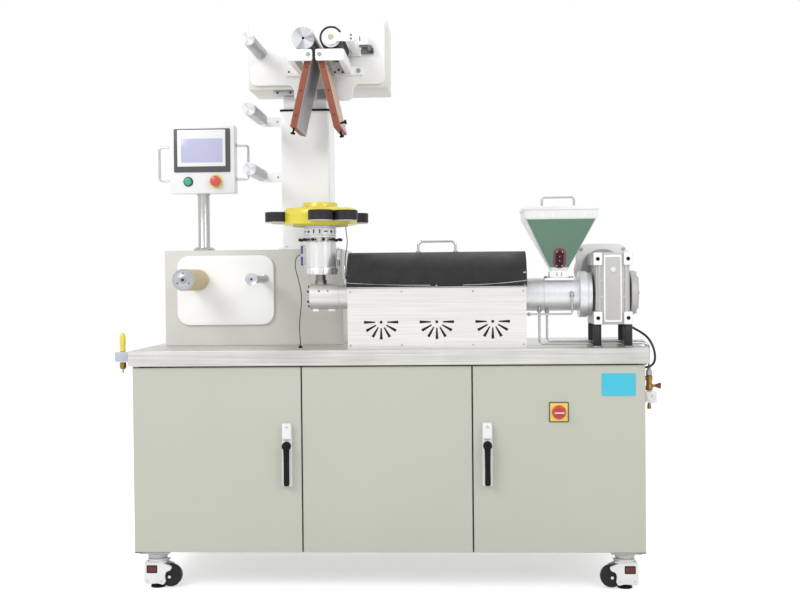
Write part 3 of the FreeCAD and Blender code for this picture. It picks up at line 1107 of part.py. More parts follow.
def make_drive():
    y = back("film_y")
    deep_low = y + " - gear_deep / 2"
    tall = "gear_top - gear_low"
    core = box("gear_core", ("gear_width", "gear_deep - 2 * gear_inset", tall + " - 2 * gear_inset"),
               ("gear_left", deep_low + " + gear_inset", "gear_low + gear_inset"))
    ears = []
    for i, x in enumerate(("gear_left", "gear_right - ear_wide")):
        for j, z in enumerate(("gear_low", "gear_top - ear_tall")):
            ears.append(box("ear_" + str(i) + str(j), ("ear_wide", "gear_deep", "ear_tall"),
                            (x, deep_low, z)))
    cover = box("gear_cover", ("cover_wide", "cover_thick + gear_inset", "cover_tall"),
                ("gear_mid - cover_wide / 2", deep_low + " + gear_inset - cover_thick",
                 "(gear_low + gear_top - cover_tall) / 2"))
    cap = cylinder("bearing_cap", "cap_radius", "cap_long", ("gear_right", y, "barrel_z + cap_up"), "x")
    solid = fuse("gear_solid", [core, cover, cap] + ears)
    holes = []
    for i, x in enumerate(("gear_left + ear_wide / 2", "gear_right - ear_wide / 2")):
        for j, z in enumerate(("gear_low + ear_tall / 2 + ear_hole_in",
                               "gear_top - ear_tall / 2 - ear_hole_in")):
            holes.append(cylinder("ear_hole_" + str(i) + str(j), "ear_hole", "2 * gear_inset",
                                  (x, deep_low, z), "y"))
    node(cut("gear", solid, holes), "gearbox")

    start = y + " + gear_deep / 2"
    flange = cylinder("motor_disc", "motor_flange", "motor_flange_thick", ("motor_x", start, "motor_z"), "y")
    can = body("motor_can", ("motor_x", start, "motor_z"))
    drawing = sketch(can, "can_outline", "XZ_Plane")
    circle(drawing, "motor_radius", "0", "0")
    pad(can, drawing, "motor_long", away=True, name="Can")
    rib = sketch(can, "fin_outline", "XZ_Plane")
    rectangle(rib, "-fin_wide / 2", "fin_wide / 2", "motor_radius - fin_tall", "motor_radius + fin_tall")
    fin = pad(can, rib, "motor_long", away=True, name="Fin")
    doc.recompute()
    fins = can.newObject("PartDesign::PolarPattern", "Fins")
    fins.Originals = [fin]
    fins.Axis = (drawing, ["N_Axis"])
    fins.Angle = 360
    bind(fins, "Occurrences", "fin_count")
    can.Tip = fins
    cowl = cylinder("motor_cowl", "cowl_radius", "cowl_long",
                    ("motor_x", start + " + motor_long", "motor_z"), "y")
    gland = cylinder("cable_gland", "gland_radius", "gland_tall",
                     ("motor_x + gland_right", y + " + gland_behind", "gland_low"))
    node(fuse("motor_solid", [flange, can, cowl, gland]), "motor")

    legs = []
    for i, sx in enumerate(("-", "+")):
        for j, sy in enumerate(("-", "+")):
            place = ("gear_mid " + sx + " leg_half", y + " " + sy + " leg_back_half", "worktop_top")
            legs.append(cylinder("leg_" + str(i) + str(j), "leg_radius", "gear_up", place))
    node(group("legs", legs), "gearbox_legs")


# Cooling pipes, leads and side fittings

def make_pipes():
    under = val.barrel_z - math.sqrt(val.feed_radius ** 2 - (val.pipe_a_y - val.film_y) ** 2)
    runs = []
    for x, deep, z, out, end in ((val.pipe_a_x, val.pipe_a_y, val.pipe_low, val.valve_x, val.valve_top),
                                 (val.pipe_b_x, val.pipe_b_y, val.pipe_high, val.pipe_b_out, val.pipe_b_end)):
        y = val.front_y + deep
        points = [(x, y, under + val.pipe_radius), (x, y, z), (out, y, z), (out, y, end + val.join_play)]
        runs.append(tube(points, val.pipe_radius, [val.pipe_bend, val.pipe_bend]))
    face = val.front_y + val.film_y - val.feed_radius
    out_y = face - val.drain_out
    points = [(val.drain_x, face + val.drain_out, val.drain_top), (val.drain_x, out_y, val.drain_top),
              (val.drain_x, out_y, val.drain_z), (val.guard_right + val.join_play, out_y, val.drain_z)]
    runs.append(tube(points, val.drain_radius, [val.drain_bend, val.pipe_bend]))
    start = Vector(val.guard_right, val.front_y + val.film_y, val.barrel_z)
    seat_round = Part.makeCylinder(val.feed_radius + val.join_play, val.feed_long, start, Vector(1, 0, 0))
    node(feature("pipe_runs", Part.makeCompound([run.cut(seat_round) for run in runs])), "water_pipes")


def lead(label, points, radius):
    """A free lead: straight runs joined by arcs as large as the runs allow, with its bends printed."""
    runs = [Vector(*after) - Vector(*before) for before, after in zip(points, points[1:])]
    bends = []
    for before, after in zip(runs, runs[1:]):
        shorter = min(before.Length, after.Length)
        bends.append(0.45 * shorter / math.tan(before.getAngle(after) / 2))
    shape = tube(points, radius, bends)
    print(label, "bend radii", [round(bend) for bend in bends], "volume", round(shape.Volume))
    node(feature(label + "_run", shape), label)


def make_leads():
    """Each route is a list of X, depth behind the door faces, and height, from gland to inlet."""
    x, y, z = val.motor_x + val.gland_right, val.film_y + val.gland_behind, val.gland_low
    edge, top = val.cab_width / 2 + val.worktop_over, val.worktop_top
    side, inlet = val.cab_width / 2 + val.inlet_long, val.inlet_y
    route = [(x, y, z), (x + 2, y - 1, z - 34), (x + 15, y - 10, z - 68), (x + 43, y - 34, z - 91),
             (edge - 29, inlet + 153, top + 64), (edge - 15, inlet + 103, top + 54),
             (edge - 3, inlet + 59, top + 45), (edge + 14, inlet + 30, top + 30),
             (edge + 29, inlet + 12, top), (edge + 34, inlet + 3, top - 30),
             (edge + 32, inlet + 0.5, top - 50), (edge + 23, inlet, val.inlet_z + 7),
             (side + 13, inlet, val.inlet_z), (side, inlet, val.inlet_z)]
    lead("motor_cable", [(px, val.front_y + depth, pz) for px, depth, pz in route], val.lead_radius)

    x, y, z = val.probe_x, val.probe_y, val.ring_low - val.under_thick
    top = val.probe_top
    route = [(x + 2.5, y + 9, z), (x + 3.5, y + 9, z - 22), (x + 7.5, y + 7, z - 46),
             (x + 6.5, y + 5, z - 73), (x + 1.5, y + 3, z - 98), (x - 1, y + 1, z - 120), (x, y, top)]
    lead("ring_lead", [(px, val.front_y + depth, pz) for px, depth, pz in route], val.wire_radius)

    x, y, z = val.bush_x, val.bush_y, val.die_body_top - val.terminal_out - val.terminal_tall / 2
    block = val.film_x - val.die_radius - val.terminal_out
    top = val.worktop_top
    route = [(block, y + 5, z), (block - 10, y + 4, z - 2), (block - 18, y + 3, z - 15),
             (x - 16, y + 2, z - 43), (x - 8, y, z - 73),
             (x, y - 1, z - 103), (x + 5, y - 2, top + 191), (x + 6, y - 3, top + 157),
             (x + 2, y - 3, top + 123), (x - 2, y - 2, top + 89), (x - 2, y - 1, top + 57), (x, y, top + 29),
             (x, y, top + val.bush_tall)]
    lead("die_lead", [(px, val.front_y + depth, pz) for px, depth, pz in route], val.wire_radius)


def make_side_valve():
    y = back("pipe_a_y")
    column = cylinder("valve_column", "valve_tube", "valve_top - valve_low", ("valve_x", y, "valve_low"))
    nut = cylinder("valve_nut", "valve_nut_radius", "valve_nut_tall", ("valve_x", y, "valve_body_top"))
    chest = cylinder("valve_chest", "valve_body", "valve_body_tall", ("valve_x", y, "valve_body_low"))
    bracket = box("valve_bracket", ("valve_x - cab_width / 2", "2 * valve_tube", "2 * valve_tube"),
                  ("cab_width / 2", y + " - valve_tube", "lever_z + valve_tube"))
    block = box("regulator_block", ("2 * gauge_radius", "gauge_thick", "2 * gauge_radius"),
                ("valve_x - gauge_radius + gauge_over", y + " - gauge_thick / 2", "gauge_z - gauge_radius"))
    gauge = cylinder("gauge", "gauge_radius - skin", "gauge_thick",
                     ("valve_x + gauge_over", y + " - gauge_thick", "gauge_z"), "y")
    bore = cylinder("valve_bore", "valve_stem + bore_play", "valve_body",
                    ("valve_x + valve_body / 2", y, "lever_z"), "x")
    solid = fuse("valve_solid", [column, nut, chest, bracket, block, gauge])
    node(cut("valve", solid, [bore]), "side_valve")

    wing = body("wing", ("0", y, "lever_z"))
    drawing = sketch(wing, "wing_outline", "XZ_Plane")
    near = "valve_x + valve_body + lever_play"
    far = near + " + lever_reach"
    outline(drawing, [(near, "-valve_stem"), (near + " + valve_body", "-valve_stem"), (far, "-lever_half"),
                      (far, "lever_half"), (near + " + valve_body", "valve_stem"), (near, "valve_stem")])
    both = pad(wing, drawing, "lever_plate")
    both.Midplane = True
    stem = cylinder("wing_stem", "valve_stem", "valve_body",
                    (near + " - valve_body + valve_stem", y, "lever_z"), "x")
    node(fuse("valve_wing", [wing, stem]), "valve_lever")


def make_tool():
    y = back("tool_y")
    clip = box("clip_block", ("-cab_width / 2 - worktop_over - clip_left", "clip_deep", "clip_tall"),
               ("clip_left", y + " - clip_deep / 2", "clip_low"))
    handle = doc.addObject("Part::Cone", "tool_handle")
    bind(handle, "Radius1", "tool_radius")
    bind(handle, "Radius2", "tool_end")
    bind(handle, "Height", "tool_top - clip_low")
    seat(handle, ("tool_x", y, "clip_low"))
    nut = cylinder("tool_collar", "tool_nut", "clip_low - tool_nut_low", ("tool_x", y, "tool_nut_low"))
    tip = cylinder("tool_rod", "tool_tip", "tool_nut_low - tool_low", ("tool_x", y, "tool_low"))
    node(fuse("tool", [clip, handle, nut, tip]), "hand_tool")


# Build and write

cabinet = make_cabinet()
make_locks()
make_castors(cabinet)
make_winder()
make_panel()
make_tower()
make_idlers()
make_nip()
make_boards()
make_air_ring()
make_die()
make_extruder()
make_hopper()
make_drive()
make_pipes()
make_leads()
make_side_valve()
make_tool()
doc.recompute()

for thing in doc.Objects:
    if "Invalid" in thing.State or "Error" in thing.State:
        raise RuntimeError(thing.Name + " failed: " + str(thing.State))
for piece in NODES:
    if piece.Shape.isNull() or not piece.Shape.isValid():
        raise RuntimeError(piece.Label + " has no valid shape")

os.makedirs("parts", exist_ok=True)
for piece in NODES:
    piece.Shape.exportStep("parts/" + piece.Label + ".step")
print(len(NODES), "sub-parts written")
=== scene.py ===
import math

import bmesh
import bpy
import numpy as np
from bpy.props import FloatProperty, FloatVectorProperty, PointerProperty
from mathutils import Matrix, Vector


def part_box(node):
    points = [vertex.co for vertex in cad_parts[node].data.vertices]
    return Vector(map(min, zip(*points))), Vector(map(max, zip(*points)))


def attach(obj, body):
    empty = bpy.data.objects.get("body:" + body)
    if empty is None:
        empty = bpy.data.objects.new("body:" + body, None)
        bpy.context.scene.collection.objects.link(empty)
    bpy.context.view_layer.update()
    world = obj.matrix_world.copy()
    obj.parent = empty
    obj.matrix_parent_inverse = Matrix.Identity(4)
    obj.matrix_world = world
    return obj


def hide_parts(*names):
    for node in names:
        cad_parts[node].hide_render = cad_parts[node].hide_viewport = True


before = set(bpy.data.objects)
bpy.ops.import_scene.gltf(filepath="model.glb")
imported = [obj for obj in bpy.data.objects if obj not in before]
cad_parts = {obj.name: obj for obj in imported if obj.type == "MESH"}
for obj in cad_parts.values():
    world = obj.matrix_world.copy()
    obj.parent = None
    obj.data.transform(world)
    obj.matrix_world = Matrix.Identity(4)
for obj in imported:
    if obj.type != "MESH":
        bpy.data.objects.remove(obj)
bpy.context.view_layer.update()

bl_info = {
    "name": "Blown Film Line",
    "version": (1, 0, 0),
    "blender": (4, 5, 0),
    "location": "3D View > Sidebar > Film Line",
    "description": "Dresses the frame of a bench-scale blown film line",
    "category": "Object",
}

FACE_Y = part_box("left_door")[0][1]
# Millimetres: the film's line in X and depth, the barrel's axis and the worktop's height
FILM_X, FILM_D, BARREL_Z, WORKTOP_Z = -233.0, 145.0, 993.0, 815.0
# Where an outline's width, its place along the axis and its height go
ORDER = {"y": [0, 1, 2], "x": [1, 0, 2], "z": [0, 2, 1]}


def at(x, depth, z):
    """A point in metres from millimetres: X, depth behind the door faces, height."""
    return np.array([x / 1000, FACE_Y + depth / 1000, z / 1000])


# Surfaces. Each gives rings of points, an array of sections by points by three, in millimetres.

def rounded_outline(width, height, corner, steps=5):
    """A rectangle with quarter-circle corners, run round anticlockwise from its right side."""
    corner = min(corner, width / 2 - 0.01, height / 2 - 0.01)
    turn = np.linspace(0, math.pi / 2, steps + 1)
    quarter = np.stack([np.cos(turn), np.sin(turn)], axis=1) * corner
    spin = np.array([[1, 1], [-1, 1], [-1, -1], [1, -1]])
    swap = [quarter, quarter[::-1], quarter, quarter[::-1]]
    return np.concatenate([swap[i] * spin[i] + spin[i] * [width / 2 - corner, height / 2 - corner]
                           for i in range(4)])


def layer(flat, far, axis="y"):
    """An outline set at one place along an axis."""
    return np.column_stack([flat[:, 0], np.full(len(flat), far), flat[:, 1]])[:, ORDER[axis]]


def slab(centre, width, height, deep, corner, edge=1.0, axis="y"):
    """A rounded rectangle carried along its depth; inset edge*(1-sin t) at depth edge*(1-cos t) at both ends.
    Its front face is at centre, and it reaches deep along +Y, +X or +Z."""
    turn = np.linspace(0, math.pi / 2, 4)
    inset = edge * (1 - np.sin(turn))
    reach = edge * (1 - np.cos(turn))
    rings = [layer(rounded_outline(width - 2 * gap, height - 2 * gap, max(corner - gap, 0.05)), far, axis)
             for gap, far in zip(np.append(inset, inset[::-1]), np.append(reach, deep - reach[::-1]))]
    return np.array(rings) + np.array(centre)


def turned(centre, profile, axis="y", count=40):
    """Radius and height pairs carried round an axis through centre: r cos t, r sin t, h."""
    profile = np.array(profile, float)
    turn = np.arange(count) * 2 * math.pi / count
    across = profile[:, :1] * np.cos(turn)
    up = profile[:, :1] * np.sin(turn)
    along = np.repeat(profile[:, 1:], count, axis=1)
    grid = {"y": (across, along, up), "x": (along, across, up), "z": (across, up, along)}[axis]
    return np.stack(grid, axis=2) + np.array(centre)


def rod(points, radius, count=14):
    """A circle carried along a path, each section square to the path's direction."""
    points = np.array(points, float)
    ahead = np.gradient(points, axis=0)
    ahead /= np.linalg.norm(ahead, axis=1)[:, None]
    spread = np.abs(points - points[0]).max(axis=0)
    normal = np.eye(3)[np.argmin(spread)] if spread.min() < 1e-6 else np.array([0.48, 0.6, 0.64])
    side = np.cross(ahead, normal)
    side /= np.linalg.norm(side, axis=1)[:, None]
    top = np.cross(side, ahead)
    turn = np.arange(count) * 2 * math.pi / count
    radius = np.broadcast_to(np.asarray(radius, float), (len(points),))[:, None, None]
    return (points[:, None, :] + radius * (np.cos(turn)[None, :, None] * side[:, None, :]
                                           + np.sin(turn)[None, :, None] * top[:, None, :]))


def bent(corners, bend, steps=6):
    """A rigid rod's line: its corners replaced by arcs that touch both runs."""
    corners = [np.array(c, float) for c in corners]
    line = [corners[0]]
    for before, corner, after in zip(corners, corners[1:], corners[2:]):
        come = (corner - before) / np.linalg.norm(corner - before)
        leave = (after - corner) / np.linalg.norm(after - corner)
        half = math.acos(float(np.clip(come @ leave, -1, 1))) / 2
        reach = bend * math.tan(half)
        centre = corner + (leave - come) / np.linalg.norm(leave - come) * bend / math.cos(half)
        start, end = corner - come * reach - centre, corner + leave * reach - centre
        for i in range(steps + 1):
            mix = start * (1 - i / steps) + end * (i / steps)
            line.append(centre + mix / np.linalg.norm(mix) * bend)
    line.append(corners[-1])
    return np.array(line)


def hexagon(centre, across, deep, axis="y", edge=0.6):
    """A six-sided head: the turned surface with six steps, its rims stepped in by edge."""
    r = across / math.sqrt(3)
    return turned(centre, [(r - edge, 0), (r, edge), (r, deep - edge), (r - edge, deep)], axis, 6)


def screw(centre, radius, axis="y", sign=-1):
    """A round socket screw head: a short cylinder with a softened rim and a sunk middle."""
    tall = radius * 0.7
    profile = [(radius, 0), (radius, sign * tall * 0.75), (radius * 0.85, sign * tall),
               (radius * 0.5, sign * tall), (radius * 0.45, sign * tall * 0.45)]
    return turned(centre, profile, axis, 18)


def placed(rings, move=None, turn=None, pivot=(0, 0, 0)):
    """The same surface turned by a matrix about a point and then moved."""
    rings = np.array(rings, float)
    if turn is not None:
        rings = (rings - np.array(pivot)) @ np.array(turn).T + np.array(pivot)
    return rings if move is None else rings + np.array(move)


def circle(count, start=0.0):
    """Cosine and sine of evenly spaced directions, the first at start in degrees."""
    return [(math.cos(t), math.sin(t)) for t in (math.radians(start + 360 / count * k) for k in range(count))]


def turn_about(axis, degrees):
    return np.array(Matrix.Rotation(math.radians(degrees), 3, axis))


def woven(rings, capped=True):
    """Quads between each ring and the next and faces on both ends, turned round if they came out inwards."""
    count, size = rings.shape[:2]
    verts = rings.reshape(-1, 3)
    row = np.arange(size)
    start = (np.arange(count - 1) * size)[:, None]
    quads = np.stack([start + row, start + np.roll(row, -1), start + size + np.roll(row, -1),
                      start + size + row],
                     axis=2).reshape(-1, 4)
    ends = np.array([row[::-1], row + (count - 1) * size]) if capped else np.zeros((0, size), int)
    a, b, c, d = (verts[quads[:, i]] for i in range(4))
    volume = np.einsum("ij,ij->", np.cross(b - a, c - a), a) + np.einsum("ij,ij->", np.cross(c - a, d - a),
                                                                         a)
    for cap in ends:
        fan = verts[cap]
        volume += np.cross(fan[1:-1] - fan[0], fan[2:] - fan[0]).sum(axis=0) @ fan[0]
    turn = -1 if volume < 0 else 1
    return verts, quads[:, ::turn].tolist() + ends[:, ::turn].tolist()


def piece(name, finish, surfaces, slot, *stands_for, body="machine", looped=False, angle=38):
    """One object from several surfaces; its slot is not used. Looped surfaces end where they began,
    and are joined there."""
    verts, faces, base = [], [], 0
    for rings in surfaces:
        part, joined = woven(np.asarray(rings, float), not looped)
        verts.append(part)
        faces += [[i + base for i in f] for f in joined]
        base += len(part)
    points = np.concatenate(verts) / 1000
    points[:, 1] += FACE_Y
    mesh = bpy.data.meshes.new(name)
    mesh.from_pydata(points, [], faces)
    if looped:
        shape = bmesh.new()
        shape.from_mesh(mesh)
        bmesh.ops.remove_doubles(shape, verts=shape.verts, dist=1e-7)
        shape.to_mesh(mesh)
        shape.free()
    mesh.validate()
    mesh.polygons.foreach_set("use_smooth", np.ones(len(mesh.polygons), bool))
    mesh.set_sharp_from_angle(angle=math.radians(angle))
    mesh.materials.append(FINISHES[finish])
    thing = bpy.data.objects.new(name, mesh)
    bpy.context.scene.collection.objects.link(thing)
    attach(thing, body)
    if stands_for:
        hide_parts(*stands_for)


# Effects shared by several finishes

def group(name, inputs, outputs):
    made = bpy.data.node_groups.new(name, "ShaderNodeTree")
    for label, kind, value in inputs:
        socket = made.interface.new_socket(name=label, in_out="INPUT", socket_type=kind)
        socket.default_value = value
    for label, kind in outputs:
        made.interface.new_socket(name=label, in_out="OUTPUT", socket_type=kind)
    return made, made.nodes.new("NodeGroupInput"), made.nodes.new("NodeGroupOutput")


def node(tree, kind, links=(), **values):
    """A shader node with its settings and its linked inputs, given by name or number."""
    made = tree.nodes.new(kind)
    for key, value in values.items():
        setattr(made, key, value)
    for socket, source in links:
        if hasattr(source, "is_output"):
            tree.links.new(source, made.inputs[socket])
        else:
            made.inputs[socket].default_value = source
    return made


def cloud_group():
    """Two colours mixed by soft noise at one scale, with a fine speck over them."""
    made, enter, leave = group("Cloudy colour", [
        ("Colour", "NodeSocketColor", (0.8, 0.8, 0.8, 1)), ("Shade", "NodeSocketColor", (0.7, 0.7, 0.7, 1)),
        ("Scale", "NodeSocketFloat", 6.0), ("Amount", "NodeSocketFloat", 0.5)],
        [("Colour", "NodeSocketColor"), ("Mask", "NodeSocketFloat")])
    where = node(made, "ShaderNodeTexCoord")
    noise = node(made, "ShaderNodeTexNoise", [("Vector", where.outputs["Object"]),
                                              ("Scale", enter.outputs["Scale"]),
                                              ("Detail", 5.0), ("Roughness", 0.6)])
    ramp = node(made, "ShaderNodeMapRange", [("Value", noise.outputs[0]), ("From Min", 0.3),
                                             ("From Max", 0.7)])
    much = node(made, "ShaderNodeMath", [(0, ramp.outputs[0]), (1, enter.outputs["Amount"])],
                operation="MULTIPLY")
    mix = node(made, "ShaderNodeMix", [(0, much.outputs[0]), (6, enter.outputs["Colour"]),
                                       (7, enter.outputs["Shade"])], data_type="RGBA")
    made.links.new(mix.outputs[2], leave.inputs["Colour"])
    made.links.new(ramp.outputs[0], leave.inputs["Mask"])


def brushed_group():
    """Noise pulled out along one direction: streaks for colour, roughness and height."""
    made, enter, leave = group("Brushed streaks", [
        ("Stretch", "NodeSocketVector", (1.0, 40.0, 40.0)), ("Scale", "NodeSocketFloat", 12.0)],
        [("Streak", "NodeSocketFloat"), ("Fine", "NodeSocketFloat")])
    where = node(made, "ShaderNodeTexCoord")
    pull = node(made, "ShaderNodeVectorMath", [(0, where.outputs["Object"]), (1, enter.outputs["Stretch"])],
                operation="MULTIPLY")
    coarse = node(made, "ShaderNodeTexNoise", [("Vector", pull.outputs[0]),
                                               ("Scale", enter.outputs["Scale"]),
                                               ("Detail", 3.0)])
    fine_scale = node(made, "ShaderNodeMath", [(0, enter.outputs["Scale"]), (1, 6.0)], operation="MULTIPLY")
    fine = node(made, "ShaderNodeTexNoise", [("Vector", pull.outputs[0]), ("Scale", fine_scale.outputs[0]),
                                             ("Detail", 4.0)])
    made.links.new(coarse.outputs[0], leave.inputs["Streak"])
    made.links.new(fine.outputs[0], leave.inputs["Fine"])


def dust_group():
    """Faces that look up gather a thin pale film, broken by noise."""
    made, enter, leave = group("Settled dust", [
        ("Colour", "NodeSocketColor", (0.5, 0.5, 0.5, 1)),
                                                ("Dust", "NodeSocketColor", (0.62, 0.61, 0.58, 1)),
        ("Amount", "NodeSocketFloat", 0.15)], [("Colour", "NodeSocketColor")])
    where = node(made, "ShaderNodeTexCoord")
    noise = node(made, "ShaderNodeTexNoise", [("Vector", where.outputs["Object"]), ("Scale", 14.0),
                                              ("Detail", 6.0)])
    split = node(made, "ShaderNodeSeparateXYZ", [(0, where.outputs["Normal"])])
    up = node(made, "ShaderNodeMapRange", [("Value", split.outputs[2]), ("From Min", 0.5),
                                           ("From Max", 1.0)])
    both = node(made, "ShaderNodeMath", [(0, up.outputs[0]), (1, noise.outputs[0])], operation="MULTIPLY")
    much = node(made, "ShaderNodeMath", [(0, both.outputs[0]), (1, enter.outputs["Amount"])],
                operation="MULTIPLY")
    mix = node(made, "ShaderNodeMix", [(0, much.outputs[0]), (6, enter.outputs["Colour"]),
                                       (7, enter.outputs["Dust"])], data_type="RGBA")
    made.links.new(mix.outputs[2], leave.inputs["Colour"])


FINISHES = {}


def linear(colour):
    """An sRGB colour as written, 0 to 255, in the shader's linear values."""
    return tuple(c / 255 / 12.92 if c / 255 <= 0.04045 else ((c / 255 + 0.055) / 1.055) ** 2.4
                 for c in colour) + (1.0,)


def shell_material(name, rough, metallic=0.0, coat=0.0):
    made = bpy.data.materials.new(name)
    made.use_nodes = True
    tree = made.node_tree
    shader = tree.nodes["Principled BSDF"]
    shader.inputs["Roughness"].default_value = rough
    shader.inputs["Metallic"].default_value = metallic
    shader.inputs["Coat Weight"].default_value = coat
    shader.inputs["Coat Roughness"].default_value = 0.12
    shader.inputs["IOR"].default_value = 1.5
    return made, tree, shader


def paint(name, colour, shade, rough, coat, grain, bump, scale=3.0, dust=0.12, shine=0.5):
    """Sprayed or moulded surface: cloudy colour, orange-peel bump, settled dust."""
    made, tree, shader = shell_material(name, rough, 0.0, coat)
    shader.inputs["Specular IOR Level"].default_value = shine
    cloud = node(tree, "ShaderNodeGroup", node_tree=bpy.data.node_groups["Cloudy colour"])
    cloud.inputs["Colour"].default_value = linear(colour)
    cloud.inputs["Shade"].default_value = linear(shade)
    cloud.inputs["Scale"].default_value = scale
    cloud.inputs["Amount"].default_value = 0.55
    film = node(tree, "ShaderNodeGroup", node_tree=bpy.data.node_groups["Settled dust"])
    film.inputs["Amount"].default_value = dust
    tree.links.new(cloud.outputs["Colour"], film.inputs["Colour"])
    tree.links.new(film.outputs["Colour"], shader.inputs["Base Color"])
    where = node(tree, "ShaderNodeTexCoord")
    peel = node(tree, "ShaderNodeTexNoise", [("Vector", where.outputs["Object"]), ("Scale", grain),
                                             ("Detail", 2.0)])
    rise = node(tree, "ShaderNodeBump", [("Height", peel.outputs[0]), ("Strength", bump),
                                         ("Distance", 0.002)])
    tree.links.new(rise.outputs[0], shader.inputs["Normal"])
    spread = node(tree, "ShaderNodeMapRange", [("Value", cloud.outputs["Mask"]), ("To Min", rough - 0.05),
                                               ("To Max", rough + 0.07)])
    tree.links.new(spread.outputs[0], shader.inputs["Roughness"])
    FINISHES[name] = made


def metal(name, colour, shade, rough, stretch, scale, bump, metallic, tint):
    """Ground or drawn metal: streaks along one direction in colour, roughness and height."""
    made, tree, shader = shell_material(name, rough, metallic)
    brush = node(tree, "ShaderNodeGroup", node_tree=bpy.data.node_groups["Brushed streaks"])
    brush.inputs["Stretch"].default_value = stretch
    brush.inputs["Scale"].default_value = scale
    cloud = node(tree, "ShaderNodeGroup", node_tree=bpy.data.node_groups["Cloudy colour"])
    cloud.inputs["Colour"].default_value = linear(colour)
    cloud.inputs["Shade"].default_value = linear(shade)
    cloud.inputs["Scale"].default_value = 2.2
    cloud.inputs["Amount"].default_value = tint
    streak = node(tree, "ShaderNodeMapRange", [("Value", brush.outputs["Streak"]), ("From Min", 0.25),
                                               ("From Max", 0.75), ("To Min", 0.0), ("To Max", 0.55)])
    mix = node(tree, "ShaderNodeMix", [(0, streak.outputs[0]), (6, cloud.outputs["Colour"]),
                                       (7, linear(shade))],
               data_type="RGBA")
    tree.links.new(mix.outputs[2], shader.inputs["Base Color"])
    spread = node(tree, "ShaderNodeMapRange", [("Value", brush.outputs["Fine"]), ("To Min", rough - 0.1),
                                               ("To Max", rough + 0.12)])
    tree.links.new(spread.outputs[0], shader.inputs["Roughness"])
    rise = node(tree, "ShaderNodeBump", [("Height", brush.outputs["Fine"]), ("Strength", bump),
                                         ("Distance", 0.0006)])
    tree.links.new(rise.outputs[0], shader.inputs["Normal"])
    FINISHES[name] = made


def lathe_and_sheen_group():
    """Turned faces: soft light and dark streaks by the angle round a centre, a painted sheen standing in for
    the face's reflection, and fine rings by the distance from it.
    """
    made, enter, leave = group("Turned face and painted sheen", [("Centre", "NodeSocketVector", (0.0, 0.0, 0.0))],
                               [("Ray", "NodeSocketFloat"), ("Ring", "NodeSocketFloat")])
    where = node(made, "ShaderNodeTexCoord")
    off = node(made, "ShaderNodeVectorMath", [(0, where.outputs["Object"]), (1, enter.outputs["Centre"])],
               operation="SUBTRACT")
    flat = node(made, "ShaderNodeVectorMath", [(0, off.outputs[0]), (1, (1.0, 0.0, 1.0))],
                operation="MULTIPLY")
    way = node(made, "ShaderNodeVectorMath", [(0, flat.outputs[0])], operation="NORMALIZE")
    painted_sheen_rays = node(made, "ShaderNodeTexNoise", [("Vector", way.outputs[0]), ("Scale", 1.7), ("Detail", 3.0)])
    far = node(made, "ShaderNodeVectorMath", [(0, flat.outputs[0])], operation="LENGTH")
    line = node(made, "ShaderNodeCombineXYZ", [(0, far.outputs["Value"])])
    rings = node(made, "ShaderNodeTexNoise", [("Vector", line.outputs[0]), ("Scale", 900.0),
                                              ("Detail", 2.0)])
    made.links.new(painted_sheen_rays.outputs[0], leave.inputs["Ray"])
    made.links.new(rings.outputs[0], leave.inputs["Ring"])


def lathe_finish_with_painted_sheen(name, centre, colour, shade):
    """Faced metal round a centre given as X and height in millimetres, its colour swung from colour to shade
    by angle as a painted sheen.
    """
    made, tree, shader = shell_material(name, 0.3, 0.7)
    face = node(tree, "ShaderNodeGroup", node_tree=bpy.data.node_groups["Turned face and painted sheen"])
    face.inputs["Centre"].default_value = (centre[0] / 1000, 0, centre[1] / 1000)
    # painted sheen: the angular streaks darken the colour towards shade, standing in for the turned face's
    # reflection
    ray = node(tree, "ShaderNodeMapRange", [("Value", face.outputs["Ray"]), ("From Min", 0.35),
                                            ("From Max", 0.65)])
    mix = node(tree, "ShaderNodeMix", [(0, ray.outputs[0]), (6, linear(colour)), (7, linear(shade))],
               data_type="RGBA")
    tree.links.new(mix.outputs[2], shader.inputs["Base Color"])
    spread = node(tree, "ShaderNodeMapRange", [("Value", face.outputs["Ring"]), ("To Min", 0.22),
                                               ("To Max", 0.42)])
    tree.links.new(spread.outputs[0], shader.inputs["Roughness"])
    rise = node(tree, "ShaderNodeBump", [("Height", face.outputs["Ring"]), ("Strength", 0.08),
                                         ("Distance", 0.0004)])
    tree.links.new(rise.outputs[0], shader.inputs["Normal"])
    FINISHES[name] = made


def clear_plastic(name, colour, rough, glow):
    """A screen: glossy plastic with a faint glow where it is lit."""
    made, tree, shader = shell_material(name, rough, 0.0, 1.0)
    cloud = node(tree, "ShaderNodeGroup", node_tree=bpy.data.node_groups["Cloudy colour"])
    cloud.inputs["Colour"].default_value = linear(colour)
    cloud.inputs["Shade"].default_value = linear(tuple(max(c - 14, 0) for c in colour))
    cloud.inputs["Scale"].default_value = 9.0
    tree.links.new(cloud.outputs["Colour"], shader.inputs["Base Color"])
    shader.inputs["Emission Color"].default_value = linear(glow)
    shader.inputs["Emission Strength"].default_value = 0.3
    FINISHES[name] = made


